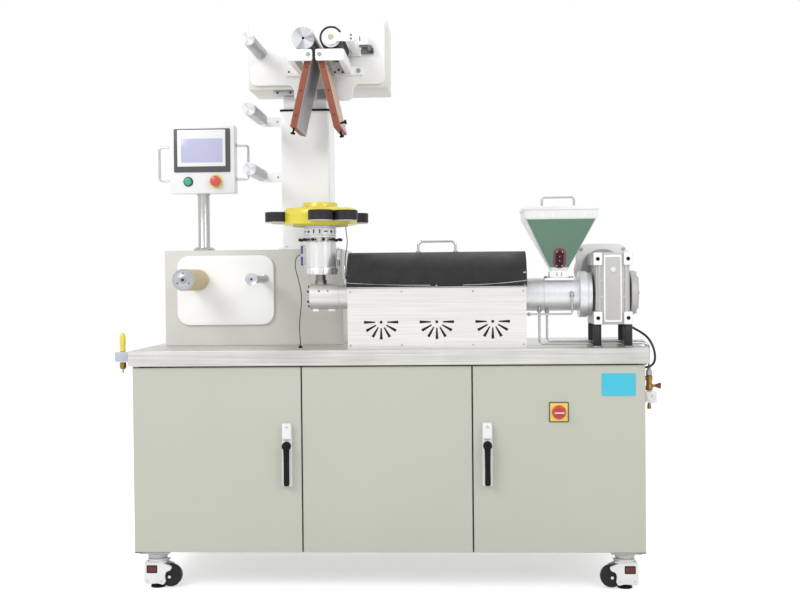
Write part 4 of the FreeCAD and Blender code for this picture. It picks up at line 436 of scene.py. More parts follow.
# Paint: colour, shade, roughness, coat, grain, bump, scale, dust, shine
PAINTS = {
    "Frame paint": ((124, 126, 115), (108, 110, 100), 0.5, 0.0, 420.0, 0.08),
    "Side paint": ((203, 204, 199), (194, 196, 190), 0.45, 0.0, 420.0, 0.1, 1.6),
    "Machine white": ((253, 253, 252), (246, 246, 244), 0.38, 0.0, 420.0, 0.08, 2.0, 0.02),
    "Housing grey": ((214, 213, 208), (203, 203, 198), 0.42, 0.0, 420.0, 0.1, 2.2, 0.06),
    "Head grey": ((232, 232, 227), (212, 213, 206), 0.42, 0.0, 420.0, 0.1, 1.4, 0.06),
    "Panel shell": ((238, 239, 240), (230, 231, 231), 0.36, 0.1, 420.0, 0.05),
    "Bezel grey": ((176, 178, 181), (166, 168, 172), 0.4, 0.0, 500.0, 0.05),
    "Black plastic": ((20, 20, 21), (12, 12, 13), 0.5, 0.0, 500.0, 0.08, 6.0, 0.0, 0.15),
    "Charcoal": ((42, 42, 43), (30, 30, 32), 0.5, 0.0, 300.0, 0.1, 5.0, 0.1, 0.25),
    "Blower plastic": ((40, 38, 42), (28, 27, 30), 0.46, 0.0, 500.0, 0.05, 8.0, 0.06, 0.3),
    "Yellow disc": ((237, 228, 140), (228, 216, 120), 0.45, 0.0, 500.0, 0.03),
    "Board edge": ((146, 80, 58), (126, 66, 46), 0.62, 0.0, 160.0, 0.25, 22.0, 0.0),
    "Board face": ((186, 182, 188), (150, 146, 154), 0.42, 0.0, 200.0, 0.08, 3.0, 0.0),
    "Card": ((214, 200, 162), (192, 176, 134), 0.75, 0.0, 140.0, 0.2, 18.0, 0.0),
    "Rubber": ((38, 38, 50), (28, 28, 38), 0.5, 0.0, 400.0, 0.06, 6.0, 0.04, 0.3),
    "Cable rubber": ((26, 26, 28), (18, 18, 20), 0.5, 0.0, 700.0, 0.08, 12.0, 0.05),
    "Wheel nylon": ((26, 26, 27), (16, 16, 17), 0.46, 0.0, 400.0, 0.08, 3.0, 0.05, 0.3),
    "Leg paint": ((42, 41, 42), (30, 29, 31), 0.44, 0.0, 400.0, 0.08, 3.0, 0.06, 0.35),
    "Plate yellow": ((238, 210, 102), (226, 196, 86), 0.42, 0.2, 400.0, 0.04),
    "Switch red": ((205, 62, 60), (182, 48, 48), 0.34, 0.4, 400.0, 0.04),
    "Thumb wheel": ((122, 52, 46), (96, 40, 36), 0.45, 0.1, 400.0, 0.06),
    "Sleeve violet": ((86, 84, 158), (70, 68, 138), 0.5, 0.1, 400.0, 0.05),
    "Motor paint": ((188, 188, 189), (172, 173, 174), 0.42, 0.1, 300.0, 0.1),
    "Lever red": ((104, 34, 34), (80, 26, 26), 0.3, 0.5, 400.0, 0.03),
    "Window glass": ((44, 10, 22), (30, 6, 14), 0.2, 0.0, 400.0, 0.02, 3.0, 0.0, 0.25),
    "Mast white": ((252, 252, 253), (244, 245, 247), 0.3, 0.2, 420.0, 0.04, 2.0, 0.0),
    "Shaft ivory": ((206, 200, 160), (184, 176, 134), 0.36, 0.1, 300.0, 0.05, 14.0, 0.0),
    "Cream": ((226, 218, 196), (214, 206, 184), 0.5, 0.0, 300.0, 0.06),
    "Orange plastic": ((226, 92, 34), (206, 78, 26), 0.36, 0.3, 400.0, 0.04),
    "Window rim": ((128, 20, 52), (96, 12, 36), 0.26, 0.4, 400.0, 0.03, 3.0, 0.0),
    "Cast white": ((252, 252, 251), (238, 239, 239), 0.44, 0.1, 120.0, 0.15, 8.0, 0.04),
    "Lilac grey": ((190, 194, 204), (172, 176, 188), 0.38, 0.2, 300.0, 0.06),
    "Lid paint": ((44, 45, 45), (18, 19, 20), 0.5, 0.0, 90.0, 0.12, 16.0, 0.04, 0.22),
    "Lock white": ((234, 235, 236), (222, 223, 225), 0.34, 0.3, 420.0, 0.04),
    "Bezel dark": ((78, 79, 82), (66, 67, 70), 0.4, 0.1, 500.0, 0.06),
    "Switch rim": ((86, 88, 52), (70, 72, 40), 0.45, 0.1, 420.0, 0.05),
    "Castor cast": ((238, 239, 238), (214, 216, 215), 0.42, 0.1, 160.0, 0.15, 9.0),
}
# Paint whose colour is a setting: the setting's name, then as above from the shade on
TINTED_PAINTS = {
    "Red plastic": ("stop", (196, 66, 60), 0.34, 0.4, 500.0, 0.03),
    "Green plastic": ("start", (40, 150, 120), 0.34, 0.4, 500.0, 0.03),
    "Ring enamel": ("ring", (212, 196, 52), 0.3, 0.5, 300.0, 0.04, 4.0, 0.08),
    "Board paint": ("board", (196, 172, 158), 0.55, 0.0, 200.0, 0.12, 7.0),
    # painted reflection: the hopper's green stands in for the surroundings mirrored in its polished front
    "Hopper green reflection": ("hopper", (72, 112, 88), 0.32, 0.5, 300.0, 0.04, 3.0),
    "Plate cyan": ("plate", (60, 188, 210), 0.35, 0.4, 400.0, 0.03),
    "Tool yellow": ("tool", (214, 196, 60), 0.36, 0.4, 400.0, 0.04),
}
# Metal: colour, shade, roughness, stretch, scale, bump, metallic, tint
METALS = {
    "Roller grey": ((176, 178, 182), (104, 106, 111), 0.26, (60, 1, 60), 9.0, 0.05, 0.95, 0.4),
    "Steel dark grey": ((128, 130, 133), (92, 94, 98), 0.38, (12, 12, 12), 16.0, 0.06, 0.8, 0.5),
    "Lid steel": ((236, 236, 236), (206, 206, 206), 0.34, (1, 40, 40), 9.0, 0.04, 0.45, 0.4),
    "Hopper shell": ((242, 242, 241), (206, 207, 206), 0.34, (30, 30, 2), 9.0, 0.03, 0.4, 0.3),
    "Die steel": ((248, 248, 247), (170, 171, 173), 0.3, (26, 26, 0.6), 5.0, 0.02, 0.62, 0.3),
    "Die steel side": ((238, 237, 234), (176, 176, 175), 0.34, (0.6, 26, 26), 8.0, 0.04, 0.62, 0.4),
    "Feed steel": ((236, 237, 241), (190, 191, 195), 0.36, (14, 14, 14), 14.0, 0.05, 0.66, 0.4),
    "Brass grey": ((170, 164, 152), (120, 116, 108), 0.32, (20, 20, 20), 12.0, 0.05, 0.9, 0.6),
    "Worktop steel": ((232, 231, 226), (158, 157, 153), 0.38, (1, 50, 50), 3.0, 0.03, 0.6, 0.6),
    "Post steel": ((206, 206, 203), (150, 151, 150), 0.24, (40, 40, 1), 9.0, 0.03, 0.9, 0.4),
    "Stainless": ((238, 236, 233), (196, 195, 192), 0.34, (1, 60, 60), 3.0, 0.02, 0.62, 0.2),
    "Chrome": ((214, 215, 218), (150, 152, 156), 0.22, (1, 50, 50), 9.0, 0.03, 1.0, 0.25),
    "Roller steel": ((206, 207, 210), (140, 141, 146), 0.32, (60, 1, 60), 9.0, 0.05, 1.0, 0.4),
    "Zinc": ((190, 192, 194), (140, 142, 145), 0.4, (9, 9, 9), 16.0, 0.1, 1.0, 0.6),
    "Machined": ((206, 206, 204), (122, 124, 126), 0.24, (6, 6, 90), 9.0, 0.04, 1.0, 0.6),
    "Cast alloy": ((198, 197, 194), (172, 171, 168), 0.48, (14, 14, 14), 30.0, 0.25, 0.35, 0.5),
    "Brass": ((176, 142, 82), (112, 82, 40), 0.3, (20, 20, 20), 14.0, 0.06, 1.0, 0.6),
    "Dark steel": ((72, 72, 76), (44, 44, 48), 0.4, (12, 12, 12), 20.0, 0.1, 0.9, 0.6),
    "Bolt black": ((38, 38, 41), (22, 22, 25), 0.38, (12, 12, 12), 22.0, 0.05, 0.6, 0.6),
}


def make_finishes(colours):
    for make_group in (cloud_group, brushed_group, dust_group, lathe_and_sheen_group):
        make_group()

    def eye(value):
        return tuple(round((c * 12.92 if c <= 0.0031308 else 1.055 * c ** (1 / 2.4) - 0.055) * 255)
                     for c in value)

    body = eye(colours.cabinet)
    paint("Cabinet paint", body, tuple(c - 7 for c in body), 0.45, 0.0, 420.0, 0.12, 1.6, 0.1)
    for name, row in PAINTS.items():
        paint(name, *row)
    for name, (setting, *row) in TINTED_PAINTS.items():
        paint(name, eye(getattr(colours, setting)), *row)
    for name, row in METALS.items():
        metal(name, *row)
    clear_plastic("Screen glass", (168, 170, 192), 0.4, (166, 166, 212))


NODE_FINISH = {
    "Frame paint": ["cabinet_frame"],
    "Side paint": ["cabinet_shell"],
    "Cabinet paint": ["left_door", "right_door", "centre_panel"],
    "Housing grey": ["worktop", "winder_box", "gearbox"],
    "Panel shell": ["panel_box"],
    "Machine white": ["winder_plate", "panel_post", "tower_column", "head_plate", "nip_frame", "nip_yoke"],
    "Head grey": ["head_box"],
    "Stainless": ["left_lock", "right_lock", "barrel_guard", "hopper_lid"],
    "Black plastic": ["left_lever", "right_lever"],
    "Switch red": ["switch_knob"],
    "Zinc": ["castor_front_left", "castor_front_right", "castor_back_left", "castor_back_right",
             "extruder_barrel"],
    "Wheel nylon": ["wheel_front_left", "wheel_front_right", "wheel_back_left", "wheel_back_right"],
    "Chrome": ["winding_shaft", "water_pipes"],
    "Card": ["paper_core"],
    "Roller steel": ["winder_roller", "head_roller", "upper_tower_roller", "lower_tower_roller",
                     "drive_nip_roller"],
    "Rubber": ["rubber_nip_roller"],
    "Green plastic": ["start_button"],
    "Red plastic": ["stop_button"],
    "Board paint": ["board_left", "board_right"],
    "Ring enamel": ["air_ring"],
    "Blower plastic": ["blowers"],
    "Machined": ["die_head", "die_adaptor"],
    "Charcoal": ["guard_lid"],
    "Hopper green reflection": ["hopper"],
    "Motor paint": ["motor"],
    "Leg paint": ["gearbox_legs"],
    "Cable rubber": ["motor_cable", "ring_lead", "die_lead"],
    "Brass": ["side_valve"],
    "Lever red": ["valve_lever"],
    "Tool yellow": ["hand_tool"],
}


def dress_nodes():
    for finish, names in NODE_FINISH.items():
        for name in names:
            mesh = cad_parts[name].data
            mesh.materials.clear()
            mesh.materials.append(FINISHES[finish])


def make_camera():
    """Stands where the photograph was taken: turned 2.66 degrees left, 0.94 down and rolled 0.54."""
    yaw, pitch, roll = 0.0465, 0.0164, 0.0094
    ahead = Vector((-math.sin(yaw) * math.cos(pitch), math.cos(yaw) * math.cos(pitch), -math.sin(pitch)))
    level = Vector((math.cos(yaw), math.sin(yaw), 0))
    down = ahead.cross(level)
    right = level * math.cos(roll) + down * math.sin(roll)
    below = down * math.cos(roll) - level * math.sin(roll)
    lens = bpy.data.cameras.new("Camera")
    lens.sensor_width = 36
    lens.lens = 1197.9 / 800 * 36
    camera = bpy.data.objects.new("Camera", lens)
    camera.matrix_world = Matrix([[right[i], -below[i], -ahead[i],
                                   (0.2343, -4.3538, 1.0462)[i]] for i in range(3)]
                                 + [[0, 0, 0, 1]])
    bpy.context.scene.collection.objects.link(camera)
    bpy.context.scene.camera = camera


def make_stage(stage):
    """A pale floor, a world of even light and three soft lamps."""
    floor_mesh = bpy.data.meshes.new("Floor")
    span = np.linspace(-14, 14, 9)
    gx, gy = np.meshgrid(span, span)
    verts = np.column_stack([gx.ravel(), gy.ravel(), np.full(81, -0.0002)])
    row = np.arange(8)
    corner = (np.arange(8) * 9)[:, None] + row
    quads = np.stack([corner, corner + 1, corner + 10, corner + 9], axis=2).reshape(-1, 4)
    floor_mesh.from_pydata(verts, [], quads)
    floor = bpy.data.objects.new("Floor", floor_mesh)
    bpy.context.scene.collection.objects.link(floor)
    made, tree, shader = shell_material("Pale floor", 0.9)
    where = node(tree, "ShaderNodeTexCoord")
    haze = node(tree, "ShaderNodeTexNoise", [("Vector", where.outputs["Object"]), ("Scale", 1.2)])
    mix = node(tree, "ShaderNodeMix", [(0, haze.outputs[0]), (6, (0.82, 0.82, 0.82, 1)),
                                       (7, (0.79, 0.79, 0.79, 1))], data_type="RGBA")
    tree.links.new(mix.outputs[2], shader.inputs["Base Color"])
    seen = seen_by_eye(tree)
    lift = node(tree, "ShaderNodeMath", [(0, seen), (1, stage.floor_lift)], operation="MULTIPLY")
    glow = node(tree, "ShaderNodeEmission", [(0, (1, 1, 1, 1)), (1, lift.outputs[0])])
    both = node(tree, "ShaderNodeAddShader", [(0, shader.outputs[0]), (1, glow.outputs[0])])
    tree.links.new(both.outputs[0], tree.nodes["Material Output"].inputs["Surface"])
    floor_mesh.materials.append(made)
    bpy.context.scene.view_settings.view_transform = "Standard"
    world = bpy.data.worlds.new("Studio")
    bpy.context.scene.world = world
    world.use_nodes = True
    sky = world.node_tree
    seen = seen_by_eye(sky)
    level = node(sky, "ShaderNodeMapRange", [("Value", seen), ("To Min", stage.fill), ("To Max", 1.0)])
    sky.nodes["Background"].inputs[0].default_value = (1, 1, 1, 1)
    sky.links.new(level.outputs[0], sky.nodes["Background"].inputs[1])
    for name, place, aim, size, power in (("Key", (-3.2, -4.2, 4.2), (0, 0, 1.4), 2.6, stage.key),
                                          ("Side", (3.2, -4.4, 3.6), (0, 0, 1.5), 2.4, stage.key * 0.5),
                                          ("Top", (0.2, 1.0, 4.6), (0, 0, 1.0), 3.0, stage.key * 0.35)):
        lamp = bpy.data.lights.new(name, "AREA")
        lamp.size = size
        lamp.energy = power
        thing = bpy.data.objects.new(name, lamp)
        thing.location = place
        thing.rotation_euler = (Vector(aim) - Vector(place)).to_track_quat("-Z", "Y").to_euler()
        bpy.context.scene.collection.objects.link(thing)


def seen_by_eye(tree):
    """1 for rays from the camera, mirrors and glass, 0 for rays that gather light."""
    path = node(tree, "ShaderNodeLightPath")
    some = node(tree, "ShaderNodeMath", [(0, path.outputs["Is Camera Ray"]),
                                         (1, path.outputs["Is Glossy Ray"])],
                operation="MAXIMUM")
    all_of = node(tree, "ShaderNodeMath", [(0, some.outputs[0]), (1, path.outputs["Is Transmission Ray"])],
                  operation="MAXIMUM")
    return all_of.outputs[0]


def hung_cord(name, node_name, points, radius):
    """A lead on one smooth line whose control points are the route's."""
    curve = bpy.data.curves.new(name, "CURVE")
    curve.dimensions = "3D"
    curve.bevel_depth = radius / 1000
    curve.bevel_resolution = 4
    curve.resolution_u = 10
    curve.use_fill_caps = True
    line = curve.splines.new("NURBS")
    line.points.add(len(points) - 1)
    for spot, (x, depth, z) in zip(line.points, points):
        spot.co = (*at(x, depth, z), 1)
    line.order_u = 3
    line.use_endpoint_u = True
    curve.materials.append(FINISHES["Cable rubber"])
    cord = bpy.data.objects.new(name, curve)
    bpy.context.scene.collection.objects.link(cord)
    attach(cord, "machine")
    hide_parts(node_name)


def relief(name, tip, away, radius, long, fat):
    """A tapered sleeve with rings: radius falls from fat to the lead's along its length."""
    along = np.linspace(0, 1, 15)
    swell = radius + (fat - radius) * (1 - along) ** 1.4
    swell[1:-1:2] -= 0.35
    away = np.array(away, float) / np.linalg.norm(away)
    line = np.array(tip, float) + along[:, None] * away * long
    piece(name, "Cable rubber", [rod(line, swell, 18)], "cable_black")


def make_cords():
    hung_cord("Motor_cable", "motor_cable", [
        (775, 300, 984), (777, 299, 950), (790, 290, 916), (818, 266, 893), (843, 229, 879), (857, 179, 869),
        (869, 135, 860), (886, 106, 845), (901, 88, 815), (906, 79, 785), (904, 76.5, 765), (895, 76, 752),
        (882, 76, 745), (869, 76, 745)], 4)
    hung_cord("Ring_lead", "ring_lead", [
        (-145, 150, 1236), (-144, 150, 1214), (-140, 148, 1190), (-141, 146, 1163), (-146, 144, 1138),
        (-148.5, 142, 1116), (-147.5, 141, 1098)], 1.5)
    hung_cord("Die_lead", "die_lead", [
        (-302, 143, 1138), (-312, 142, 1136), (-320, 141, 1123), (-322, 140, 1095), (-314, 138, 1065),
        (-306, 137, 1035), (-301, 136, 1006), (-300, 135, 972), (-304, 135, 938), (-308, 136, 904),
        (-308, 137, 872), (-306, 138, 844), (-306, 138, 823)], 1.5)
    relief("Motor_cable_boot", (775, 300, 985), (1, -0.4, -17), 4, 24, 7)


def cut_plate(outline, start, deep, edge=1.0, axis="y"):
    """An outline in X and height carried along its depth, its rims inset by edge at both ends."""
    flat = np.array(outline, float)
    ahead = np.roll(flat, -1, axis=0) - flat
    if (flat[:, 0] * np.roll(flat[:, 1], -1) - np.roll(flat[:, 0], -1) * flat[:, 1]).sum() < 0:
        flat = flat[::-1]
        ahead = np.roll(flat, -1, axis=0) - flat
    inward = np.column_stack([-ahead[:, 1], ahead[:, 0]]) / np.linalg.norm(ahead, axis=1)[:, None]
    both = inward + np.roll(inward, 1, axis=0)
    inset = flat + both / np.maximum((both ** 2).sum(axis=1), 0.5)[:, None] * 2 * edge
    return np.array([layer(shape, start + far, axis) for shape, far in (
        (inset, 0), (flat, edge), (flat, deep - edge), (inset, deep))])


def softened_outline(corners, bend, steps=4):
    """A closed outline with its corners replaced by arcs."""
    corners = [np.array(c, float) for c in corners]
    line = []
    for before, corner, after in zip(corners[-1:] + corners[:-1], corners, corners[1:] + corners[:1]):
        come, leave = corner - before, after - corner
        reach = min(bend, 0.45 * np.linalg.norm(come), 0.45 * np.linalg.norm(leave))
        start = corner - come / np.linalg.norm(come) * reach
        end = corner + leave / np.linalg.norm(leave) * reach
        t = np.linspace(0, 1, steps + 1)[:, None]
        line.append((1 - t) ** 2 * start + 2 * t * (1 - t) * corner + t ** 2 * end)
    return np.concatenate(line)


def node_box(name):
    """A frame part's box as X, depth and height ranges in millimetres."""
    low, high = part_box(name)
    return [((low[i] - (FACE_Y if i == 1 else 0)) * 1000, (high[i] - (FACE_Y if i == 1 else 0)) * 1000)
            for i in range(3)]


def box_slab(name, corner, edge):
    """A rounded slab on a frame part's box."""
    (x0, x1), (d0, d1), (z0, z1) = node_box(name)
    return slab(((x0 + x1) / 2, d0, (z0 + z1) / 2), x1 - x0, z1 - z0, d1 - d0, corner, edge)


def door_skin(name, edge):
    """A folded sheet: from the inside of its front round its four returns to a softened front edge."""
    (x0, x1), (d0, d1), (z0, z1) = node_box(name)
    turn = np.linspace(0, math.pi / 2, 5)
    insets = [2.0, 2.0, 0.0] + list(edge * (1 - np.cos(turn)))
    depths = [2.0, d1 - d0, d1 - d0] + list(edge * (1 - np.sin(turn)))
    rings = []
    for gap, far in zip(insets, depths):
        flat = rounded_outline(x1 - x0 - 2 * gap, z1 - z0 - 2 * gap, max(1.2 - gap, 0.1), 3)
        rings.append(layer(flat + [(x0 + x1) / 2, (z0 + z1) / 2], d0 + far))
    return np.array(rings)


def loft(sections):
    """Rounded rectangles stacked along the height: each gives X, depth, height, width, thickness, corner."""
    rings = []
    for x, depth, z, wide, thick, corner in sections:
        rings.append(layer(rounded_outline(wide, thick, corner, 4) + [x, depth], z, "z"))
    return np.array(rings)


def make_cabinet(sizes):
    for name, body in (("left_door", "left_leaf"), ("right_door", "right_leaf"),
                       ("centre_panel", "machine")):
        piece(name.capitalize() + "_skin", "Cabinet paint", [door_skin(name, sizes.rounding)],
              "cabinet_paint", name, body=body)
    (x0, x1), (d0, d1), (z0, _) = node_box("worktop")
    sheet = slab(((x0 + x1) / 2, d0, (z0 + WORKTOP_Z) / 2), x1 - x0, WORKTOP_Z - z0, d1 - d0, 2.5, 2.5)
    piece("Worktop_sheet", "Worktop steel", [sheet], "sheet_steel", "worktop")
    piece("Lead_bush", "Black plastic",
          [turned((-306, 138, 0), [(8, 814.5), (8, 816.5), (6, 818), (5, 823), (2, 823.2)], "z", 20)],
          "black_plastic")
    for side, lock, leaf, handle in ((-1, "left_lock", "left_leaf", "left_handle"),
                                     (1, "right_lock", "right_leaf", "right_handle")):
        x = side * 335.7
        plate = slab((x, -13.5, 464), 33, 212, 13.5, 6, 2.2)
        head = slab((x, -22, 542.5), 30, 52, 10, 4, 2.6)
        key = turned((x, -22.0, 556), [(6.4, 1), (6.4, -0.2), (5.6, -0.6), (1.2, -0.6), (1.2, 0.6)], "y", 20)
        piece(lock.capitalize() + "_plate", "Lock white", [plate, head], "machine_white", lock, body=leaf)
        piece(lock.capitalize() + "_key", "Chrome", [key], "zinc", body=leaf)
        arm = [(x, -29, z, wide, thick, 4) for z, wide, thick in (
            (503, 15, 8), (500, 20, 11), (488, 21, 12.5), (470, 19.5, 12), (440, 18.5, 11.5),
                                                                  (400, 18.5, 11.5),
            (370, 19.5, 11.5), (364, 18, 10), (362, 14, 7))]
        boss = turned((x, 0, 495), [(13.5, -14.4), (14.6, -16), (15, -24), (15, -33), (13.6, -35.4),
                                    (12, -36)], "y", 36)
        cap = turned((x, 0, 495), [(9.2, -35.5), (9.2, -36.4), (8.2, -36.8), (1, -36.8)], "y", 30)
        piece(lock.split("_")[0].capitalize() + "_lever_grip", "Black plastic", [loft(arm), boss, cap],
              "black_plastic", lock.split("_")[0] + "_lever", body=handle)
    x, z = 574.0, 603.0
    frame_ring = slab((x, -2.2, z), 66, 68, 2.2, 4, 1.0)
    face = slab((x, -2.8, z), 58, 60, 1.2, 2.5, 0.5)
    piece("Switch_frame", "Switch rim", [frame_ring], "black_plastic", body="right_leaf")
    piece("Switch_plate", "Plate yellow", [face], "tool_yellow", body="right_leaf")
    disc = turned((x, 0, z), [(22, -3.0), (23, -4), (23, -9), (21.6, -11), (19, -12), (2, -12.4)], "y", 48)
    grip = slab((x, -31, z), 42, 10, 20, 4.4, 2.6)
    piece("Switch_turn", "Switch red", [disc, grip], "red_plastic", "switch_knob", body="main_switch")
    # painted highlight: a thin white strip across the red grip stands in for the light caught along its edge
    mark = slab((x, -31.25, z), 32, 2.6, 0.6, 1.2, 0.2)
    piece("Switch_grip_highlight", "Machine white", [mark], "machine_white", body="main_switch")
    piece("Door_plate", "Plate cyan", [slab((772, -1.4, 693.5), 112, 75, 1.4, 2.5, 0.5)], "cabinet_paint",
          body="right_leaf")


def make_castors():
    for corner in ("front_left", "front_right", "back_left", "back_right"):
        side = 1 if corner.endswith("left") else -1
        x, deep = -798.0 * side, 70.0 if corner.startswith("front") else 670.0

        def across(u, x=x, side=side):
            return x + side * u

        cheek = softened_outline([(-42, 20), (-40, 92), (18, 92), (30, 84), (54, 74), (50, 62), (34, 56),
                                  (29, 40), (33, 22), (24, 11.5), (6, 17), (-36, 14)], 6)
        near = cheek * [side, 1] + [x, 0]
        block = softened_outline([(-41, 21), (-39, 91.5), (4, 91.5), (4, 18), (-35, 15)], 4) * [side,
                                                                                                1] + [x, 0]
        body = [cut_plate(near, deep - 31, 13.5, 1.4), cut_plate(near, deep + 17.5, 13.5, 1.4),
                cut_plate(block, deep - 30.5, 61, 1.0)]
        body.append(slab((across(6), deep - 31, 91), 62, 4, 62, 1.9, 0.8))
        axis = (x, deep, 0)
        body.append(turned(axis, [(33, 92), (34, 94), (34, 99), (31, 101)], "z", 40))
        piece("Castor_housing_" + corner, "Castor cast", body, "zinc", "castor_" + corner,
              body="castor_" + corner + "_body")
        piece("Castor_race_" + corner, "Zinc",
              [turned(axis, [(28, 100.5), (28, 104), (33, 105.5), (34, 108), (34, 119), (32.5, 121.6)], "z",
                      40)],
              "zinc", body="castor_" + corner + "_body")
        # painted shade: thin black sheets on both cheeks stand in for the shaded opening round the thumb
        # wheel
        window = [slab((across(-14), deep + s * 31 - (0.5 if s < 0 else -0.1), 66), 37, 27, 0.4, 3, 0.1)
                  for s in (-1, 1)]
        foot = turned(axis, [(24, 0), (25, 1.5), (24.4, 6), (21, 8), (9, 8.6), (5, 9), (5, 20)], "z", 36)
        piece("Castor_foot_and_window_shade_" + corner, "Black plastic", window + [foot], "black_plastic",
              body="castor_" + corner + "_body")
        thumb = []
        for k in range(7):
            for s in (-1, 1):
                u = -14 + (k - 3) * 4.4
                thumb.append(slab((across(u), deep + s * 31 - (1.2 if s < 0 else -0.4), 66), 3.2, 20, 0.9,
                                  1.2, 0.4))
        piece("Castor_thumb_wheel_" + corner, "Thumb wheel", thumb, "lever_red",
              body="castor_" + corner + "_body")
        bolts = [hexagon((across(46), deep + s * (32.5 if s < 0 else 30.6), 39.5), 10, 3, "y", 0.5)
                 for s in (-1, 1)]
        bolts += [screw((across(-30), deep - 31, 27), 3.0), screw((across(18), deep - 31, 26), 3.0)]
        piece("Castor_bolts_" + corner, "Chrome", bolts, "zinc", body="castor_" + corner + "_body")
        hub = (across(46), deep, 39.5)
        tread = turned(hub, [(24, -15), (34.5, -15), (36.6, -13.5), (37.4, -9), (37.5, 0), (37.4, 9),
                             (36.6, 13.5), (34.5, 15), (24, 15)], "y", 60)
        disc = turned(hub, [(8, -15.2), (10, -15.2), (10, -12), (24.5, -12), (24.5, 12), (10, 12),
                            (10, 15.2), (8, 15.2)], "y", 48)
        piece("Wheel_" + corner, "Wheel nylon", [tread, disc], "wheel_nylon", "wheel_" + corner,
              body="wheel_" + corner + "_body")


def make_winder():
    piece("Winder_case", "Housing grey", [box_slab("winder_box", 2.0, 2.0)], "housing_grey", "winder_box")
    piece("Winder_face", "Machine white", [slab((-601, 318, 1016), 354, 252, 12, 44, 2.6)], "machine_white",
          "winder_plate")
    x, z = -699.0, 1054.5
    core = turned((x, 0, z), [(30.5, 73), (30.5, 71.9), (37, 71.9), (38, 73), (38, 311), (37.3, 312),
                              (30, 312)], "y", 64)
    piece("Card_core", "Card", [core], "card", "paper_core", body="winding_mandrel")
    cap = turned((x, 0, z), [(30.2, 78), (30.2, 71.4), (37.4, 71.4), (38, 70.8), (38, 68), (37.2, 67.2),
                             (34, 67),
                             (33.4, 67.6), (13.4, 67.6), (12.4, 67), (12, 61), (11.2, 60), (7, 60),
                             (6.6, 63)],
                 "y", 64)
    shaft = turned((x, 0, z), [(10, 66), (10, 318), (16, 318), (16, 312.5), (18.5, 312.5), (18.5, 329.5)],
                   "y", 40)
    lobes = [screw((x + 23 * c, 67.3, z + 23 * s), 2.4) for c, s in circle(3, 90)]
    piece("Mandrel", "Roller steel", [cap, shaft], "chrome_roll", "winding_shaft", body="winding_mandrel")
    piece("Mandrel_screws", "Dark steel", lobes + [hexagon((x, 59.2, z), 9, 2.4, "y", 0.4)], "dark_steel",
          body="winding_mandrel")
    x = -458.5
    guide = turned((x, 0, z), [(19.5, 40.6), (20.5, 40), (21.5, 41), (21.5, 45), (20.6, 46), (14, 46.4),
                               (14, 317), (19, 318), (19, 329)], "y", 48)
    dimple = turned((x, 0, z), [(4, 40.4), (4, 39.4), (3.2, 39.1), (1, 39.1)], "y", 20)
    piece("Winder_guide_roll", "Roller steel", [guide], "chrome_roll", "winder_roller", body="winder_guide")
    piece("Winder_guide_pin", "Dark steel", [dimple], "dark_steel", body="winder_guide")


def make_panel():
    x, deep = -687.5, 350.0
    case = slab((x, deep, 1495), 239, 248, 60, 5, 2.6)
    piece("Panel_case", "Panel shell", [case], "machine_white", "panel_box")
    grabs = []
    for side, top, low in ((-1, 1543, 1419), (1, 1547, 1423)):
        edge, out = x + side * 119, x + side * 165
        line = bent([(edge, 380, top), (out, 380, top), (out, 380, low), (edge, 380, low)], 12)
        grabs.append(rod(line, 4.5, 16))
        for z in (top, low):
            grabs.append(turned((edge + side * 0.5, 380, z), [(9, -1.5), (9, 1.5), (8, 2.5), (5, 2.8)]
                                if side > 0 else [(9, 1.5), (9, -1.5), (8, -2.5), (5, -2.8)], "x", 24))
    piece("Panel_grab_handles", "Chrome", grabs, "zinc")
    bezel = slab((-687.5, 346, 1527.8), 207, 158.5, 4.6, 3, 1.4)
    piece("Panel_bezel", "Bezel dark", [bezel], "black_plastic")
    rim = slab((-689.5, 345.6, 1536.2), 177, 133.5, 1.6, 1, 0.4)
    piece("Panel_screen_rim", "Panel shell", [rim], "machine_white")
    glass = slab((-687.5, 345.2, 1527.2), 153, 87.5, 1.6, 0.8, 0.3)
    piece("Panel_screen", "Screen glass", [glass], "machine_white")
    x, z = -739.5, 1414.0
    ring = turned((x, 0, z), [(17.5, 350.6), (17.5, 347.6), (16.4, 346.6), (14.6, 346.6), (14.2, 349)], "y",
                  40)
    cap = turned((x, 0, z), [(8, 366), (8, 350), (13.6, 349), (13.9, 343), (12.6, 340), (8, 339.2),
                             (1, 339)],
                 "y", 40)
    piece("Start_ring", "Dark steel", [ring], "dark_steel")
    piece("Start_cap", "Green plastic", [cap], "green_plastic", "start_button", body="start_push")
    x = -637.0
    disc = turned((x, 0, z), [(26, 350.4), (26, 349.6), (25.6, 349.2), (10, 349.2), (9.6, 349.6),
                              (9.6, 350.4)], "y", 48)
    head = turned((x, 0, z), [(8, 366), (8, 342.8), (15, 342), (18.6, 339), (19.5, 335), (19.3, 330),
                              (17, 325),
                              (12, 322.8), (6, 322.1), (1, 322)], "y", 48)
    piece("Stop_disc", "Yellow disc", [disc], "tool_yellow")
    piece("Stop_head", "Red plastic", [head], "red_plastic", "stop_button", body="stop_push")
    post = turned((-690, 382, 0), [(37.6, 1162), (39, 1163.2), (39, 1168.6), (37.6, 1170), (25, 1170),
                                   (23, 1171),
                                   (21.5, 1174), (21.5, 1364), (24.5, 1365), (24.5, 1371)], "z", 56)
    bolts = [hexagon((-690 + 31 * c, 382 + 31 * s, 1169.6), 8, 4.5, "z", 0.5) for c, s in circle(4, 45)]
    piece("Panel_post_tube", "Post steel", [post], "machine_white", "panel_post")
    piece("Panel_post_bolts", "Zinc", bolts, "zinc")


def idler(x, z, front, back):
    """A guide roller: end cap with a small hub, tube, and the stub that carries it."""
    tube_part = turned((x, 0, z), [(21, front + 9), (22, front + 10), (22, front + 258), (20, front + 260),
                                   (7, front + 260.4), (7, back)], "y", 56)
    cap = turned((x, 0, z), [(21.2, front + 9.4), (22, front + 8), (22, front + 1.2), (20.8, front),
                             (6.2, front), (5.6, front + 1.4), (0.8, front + 1.4)], "y", 56)
    return tube_part, cap


